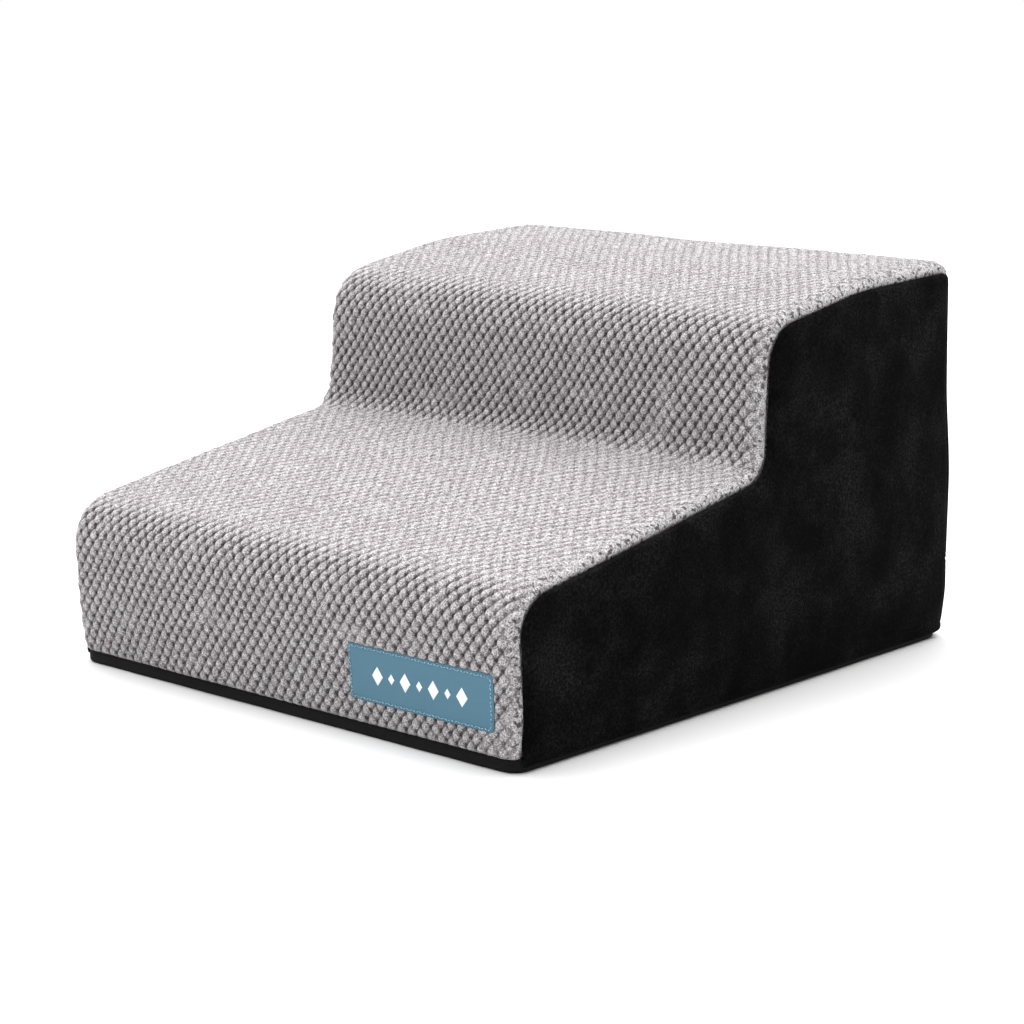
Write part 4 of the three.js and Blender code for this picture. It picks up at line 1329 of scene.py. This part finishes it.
class RAMP_PG_stage(bpy.types.PropertyGroup):
    """Camera and light."""

    azimuth: angle_setting("Azimuth", "Camera's angle round the ramp from the front", 41.98)
    elevation: angle_setting("Elevation", "Camera's angle above the floor", 11.01)
    distance: length_setting("Distance", "From the camera to its aim", 1.85126, 0.5, 10.0)
    lens: FloatProperty(name="Focal length", description="In millimetres, for a 36 mm sensor",
                        default=95.49809)
    shift: FloatVectorProperty(name="Lens shift", description="Sideways and upward, in image widths",
                               size=2, default=(-0.00617, -0.0340))
    aim: FloatVectorProperty(name="Aim", description="The point that the camera looks at", size=3,
                             default=(0.0, -1.25 * MM, 120 * MM), subtype="TRANSLATION", unit="LENGTH")
    floor: FloatVectorProperty(name="Floor colour", description="Colour of the plain floor", size=3,
                               default=linear(FLOOR_COLOUR)[:3], subtype="COLOR", min=0, max=1)
    key: FloatProperty(name="Key light", description="Strength of the overhead light", default=6.5)
    key_size: angle_setting("Key size", "Angle that the overhead light spans", 84)
    key_way: FloatVectorProperty(name="Key direction", description="Towards the overhead light",
                                 size=3, default=(-0.28, 0.2, 1.0), subtype="DIRECTION")
    fill: FloatProperty(name="Fill light", description="Strength of the front light", default=0.7)
    fill_size: angle_setting("Fill size", "Angle that the front light spans", 57.3)
    fill_way: FloatVectorProperty(name="Fill direction", description="Towards the front light",
                                  size=3, default=(0.4, -0.8, 0.4), subtype="DIRECTION")
    sky: FloatProperty(name="Sky", description="Brightness of the sky above the set", default=0.5,
                       min=0, max=1)


def look_from(obj, place, aim):
    """Puts an object at a place with its -Z axis pointing at aim."""
    obj.location = place
    obj.rotation_euler = (Vector(aim) - Vector(place)).to_track_quat("-Z", "Y").to_euler()


class RAMP_OT_stage(bpy.types.Operator):
    """Pale floor, soft boxes, even sky and the camera"""

    bl_idname = "ramp.stage"
    bl_label = "Stage"

    def execute(self, context):
        """The camera stands back from its aim along the direction that its azimuth and elevation give."""
        stage = context.scene.ramp_stage
        scene = context.scene
        a, e, d = stage.azimuth, stage.elevation, stage.distance
        back = Vector((math.sin(a) * math.cos(e), -math.cos(a) * math.cos(e), math.sin(e)))
        camera = bpy.data.objects.new("camera", bpy.data.cameras.new("camera"))
        scene.collection.objects.link(camera)
        look_from(camera, Vector(stage.aim) + back * d, stage.aim)
        camera.data.sensor_width = SENSOR
        camera.data.lens = stage.lens
        camera.data.shift_x, camera.data.shift_y = stage.shift
        camera.data.clip_start = 0.05
        scene.camera = camera

        corners = FLOOR_REACH * np.array([(-1, -1, 0), (1, -1, 0), (1, 1, 0), (-1, 1, 0)])
        floor = make_mesh("floor", corners, np.array([[0, 1, 2, 3]]))
        # Matt studio paper, close to white and with no gloss.
        paper = new_material("studio_paper", FLOOR_COLOUR, 0.95, Base_Color=(*stage.floor, 1))[0]
        floor.data.materials.append(paper)

        world = bpy.data.worlds.new("studio")
        scene.world = world
        world.use_nodes = True
        tree = world.node_tree
        sky = tree.nodes["Background"]
        # A white wall round the set, up to 6 degrees above the horizon, and a dimmer sky over it.
        way = node(tree, "ShaderNodeTexCoord")
        height = node(tree, "ShaderNodeSeparateXYZ", {"Vector": way.outputs["Generated"]})
        dim = int(255 * stage.sky ** (1 / 2.2))
        tint = node(tree, "ShaderNodeValToRGB", {"Fac": height.outputs["Z"]},
                    stops=((0.06, "#ffffff"), (0.14, f"#{dim:02x}{dim:02x}{dim:02x}")))
        tree.links.new(tint.outputs["Color"], sky.inputs["Color"])
        sky.inputs["Strength"].default_value = 1.0

        lamps = {
            "key": (stage.key_way, stage.key, stage.key_size),
            "fill": (stage.fill_way, stage.fill, stage.fill_size),
        }
        for name, (way, power, size) in lamps.items():
            light = bpy.data.objects.new(name, bpy.data.lights.new(name, "SUN"))
            light.data.energy = power
            light.data.angle = size
            scene.collection.objects.link(light)
            look_from(light, Vector(way) * 3, (0, 0, 0))
        scene.view_settings.view_transform = "Standard"
        return {"FINISHED"}


class RAMP_PT_panel(bpy.types.Panel):
    """Lists the ramp's sizes and the steps that build it"""

    bl_label = "Foam dog ramp"
    bl_idname = "RAMP_PT_panel"
    bl_space_type = "VIEW_3D"
    bl_region_type = "UI"
    bl_category = CATEGORY

    def draw(self, context):
        for group, kind in GROUPS.items():
            box = self.layout.box()
            for name in kind.__annotations__:
                box.prop(getattr(context.scene, group), name)
        for operator in OPERATORS:
            self.layout.operator(operator.bl_idname)


GROUPS = {
    "ramp_cover": RAMP_PG_cover,
    "ramp_zip": RAMP_PG_zip,
    "ramp_label": RAMP_PG_label,
    "ramp_stage": RAMP_PG_stage,
}
OPERATORS = (
    RAMP_OT_stage,
    RAMP_OT_foam,
    RAMP_OT_tread_cover,
    RAMP_OT_side_panels,
    RAMP_OT_back_panels,
    RAMP_OT_base,
    RAMP_OT_zip,
    RAMP_OT_front_label,
    RAMP_OT_care_label,
)


def register():
    for cls in (*GROUPS.values(), *OPERATORS, RAMP_PT_panel):
        bpy.utils.register_class(cls)
    for name, cls in GROUPS.items():
        setattr(bpy.types.Scene, name, bpy.props.PointerProperty(type=cls))


def unregister():
    for name in GROUPS:
        delattr(bpy.types.Scene, name)
    for cls in (RAMP_PT_panel, *reversed(OPERATORS), *reversed(list(GROUPS.values()))):
        bpy.utils.unregister_class(cls)


def main():
    register()
    for operator in OPERATORS:
        group, name = operator.bl_idname.split(".")
        getattr(getattr(bpy.ops, group), name)()
    bpy.context.view_layer.update()


if __name__ == "__main__":
    main()
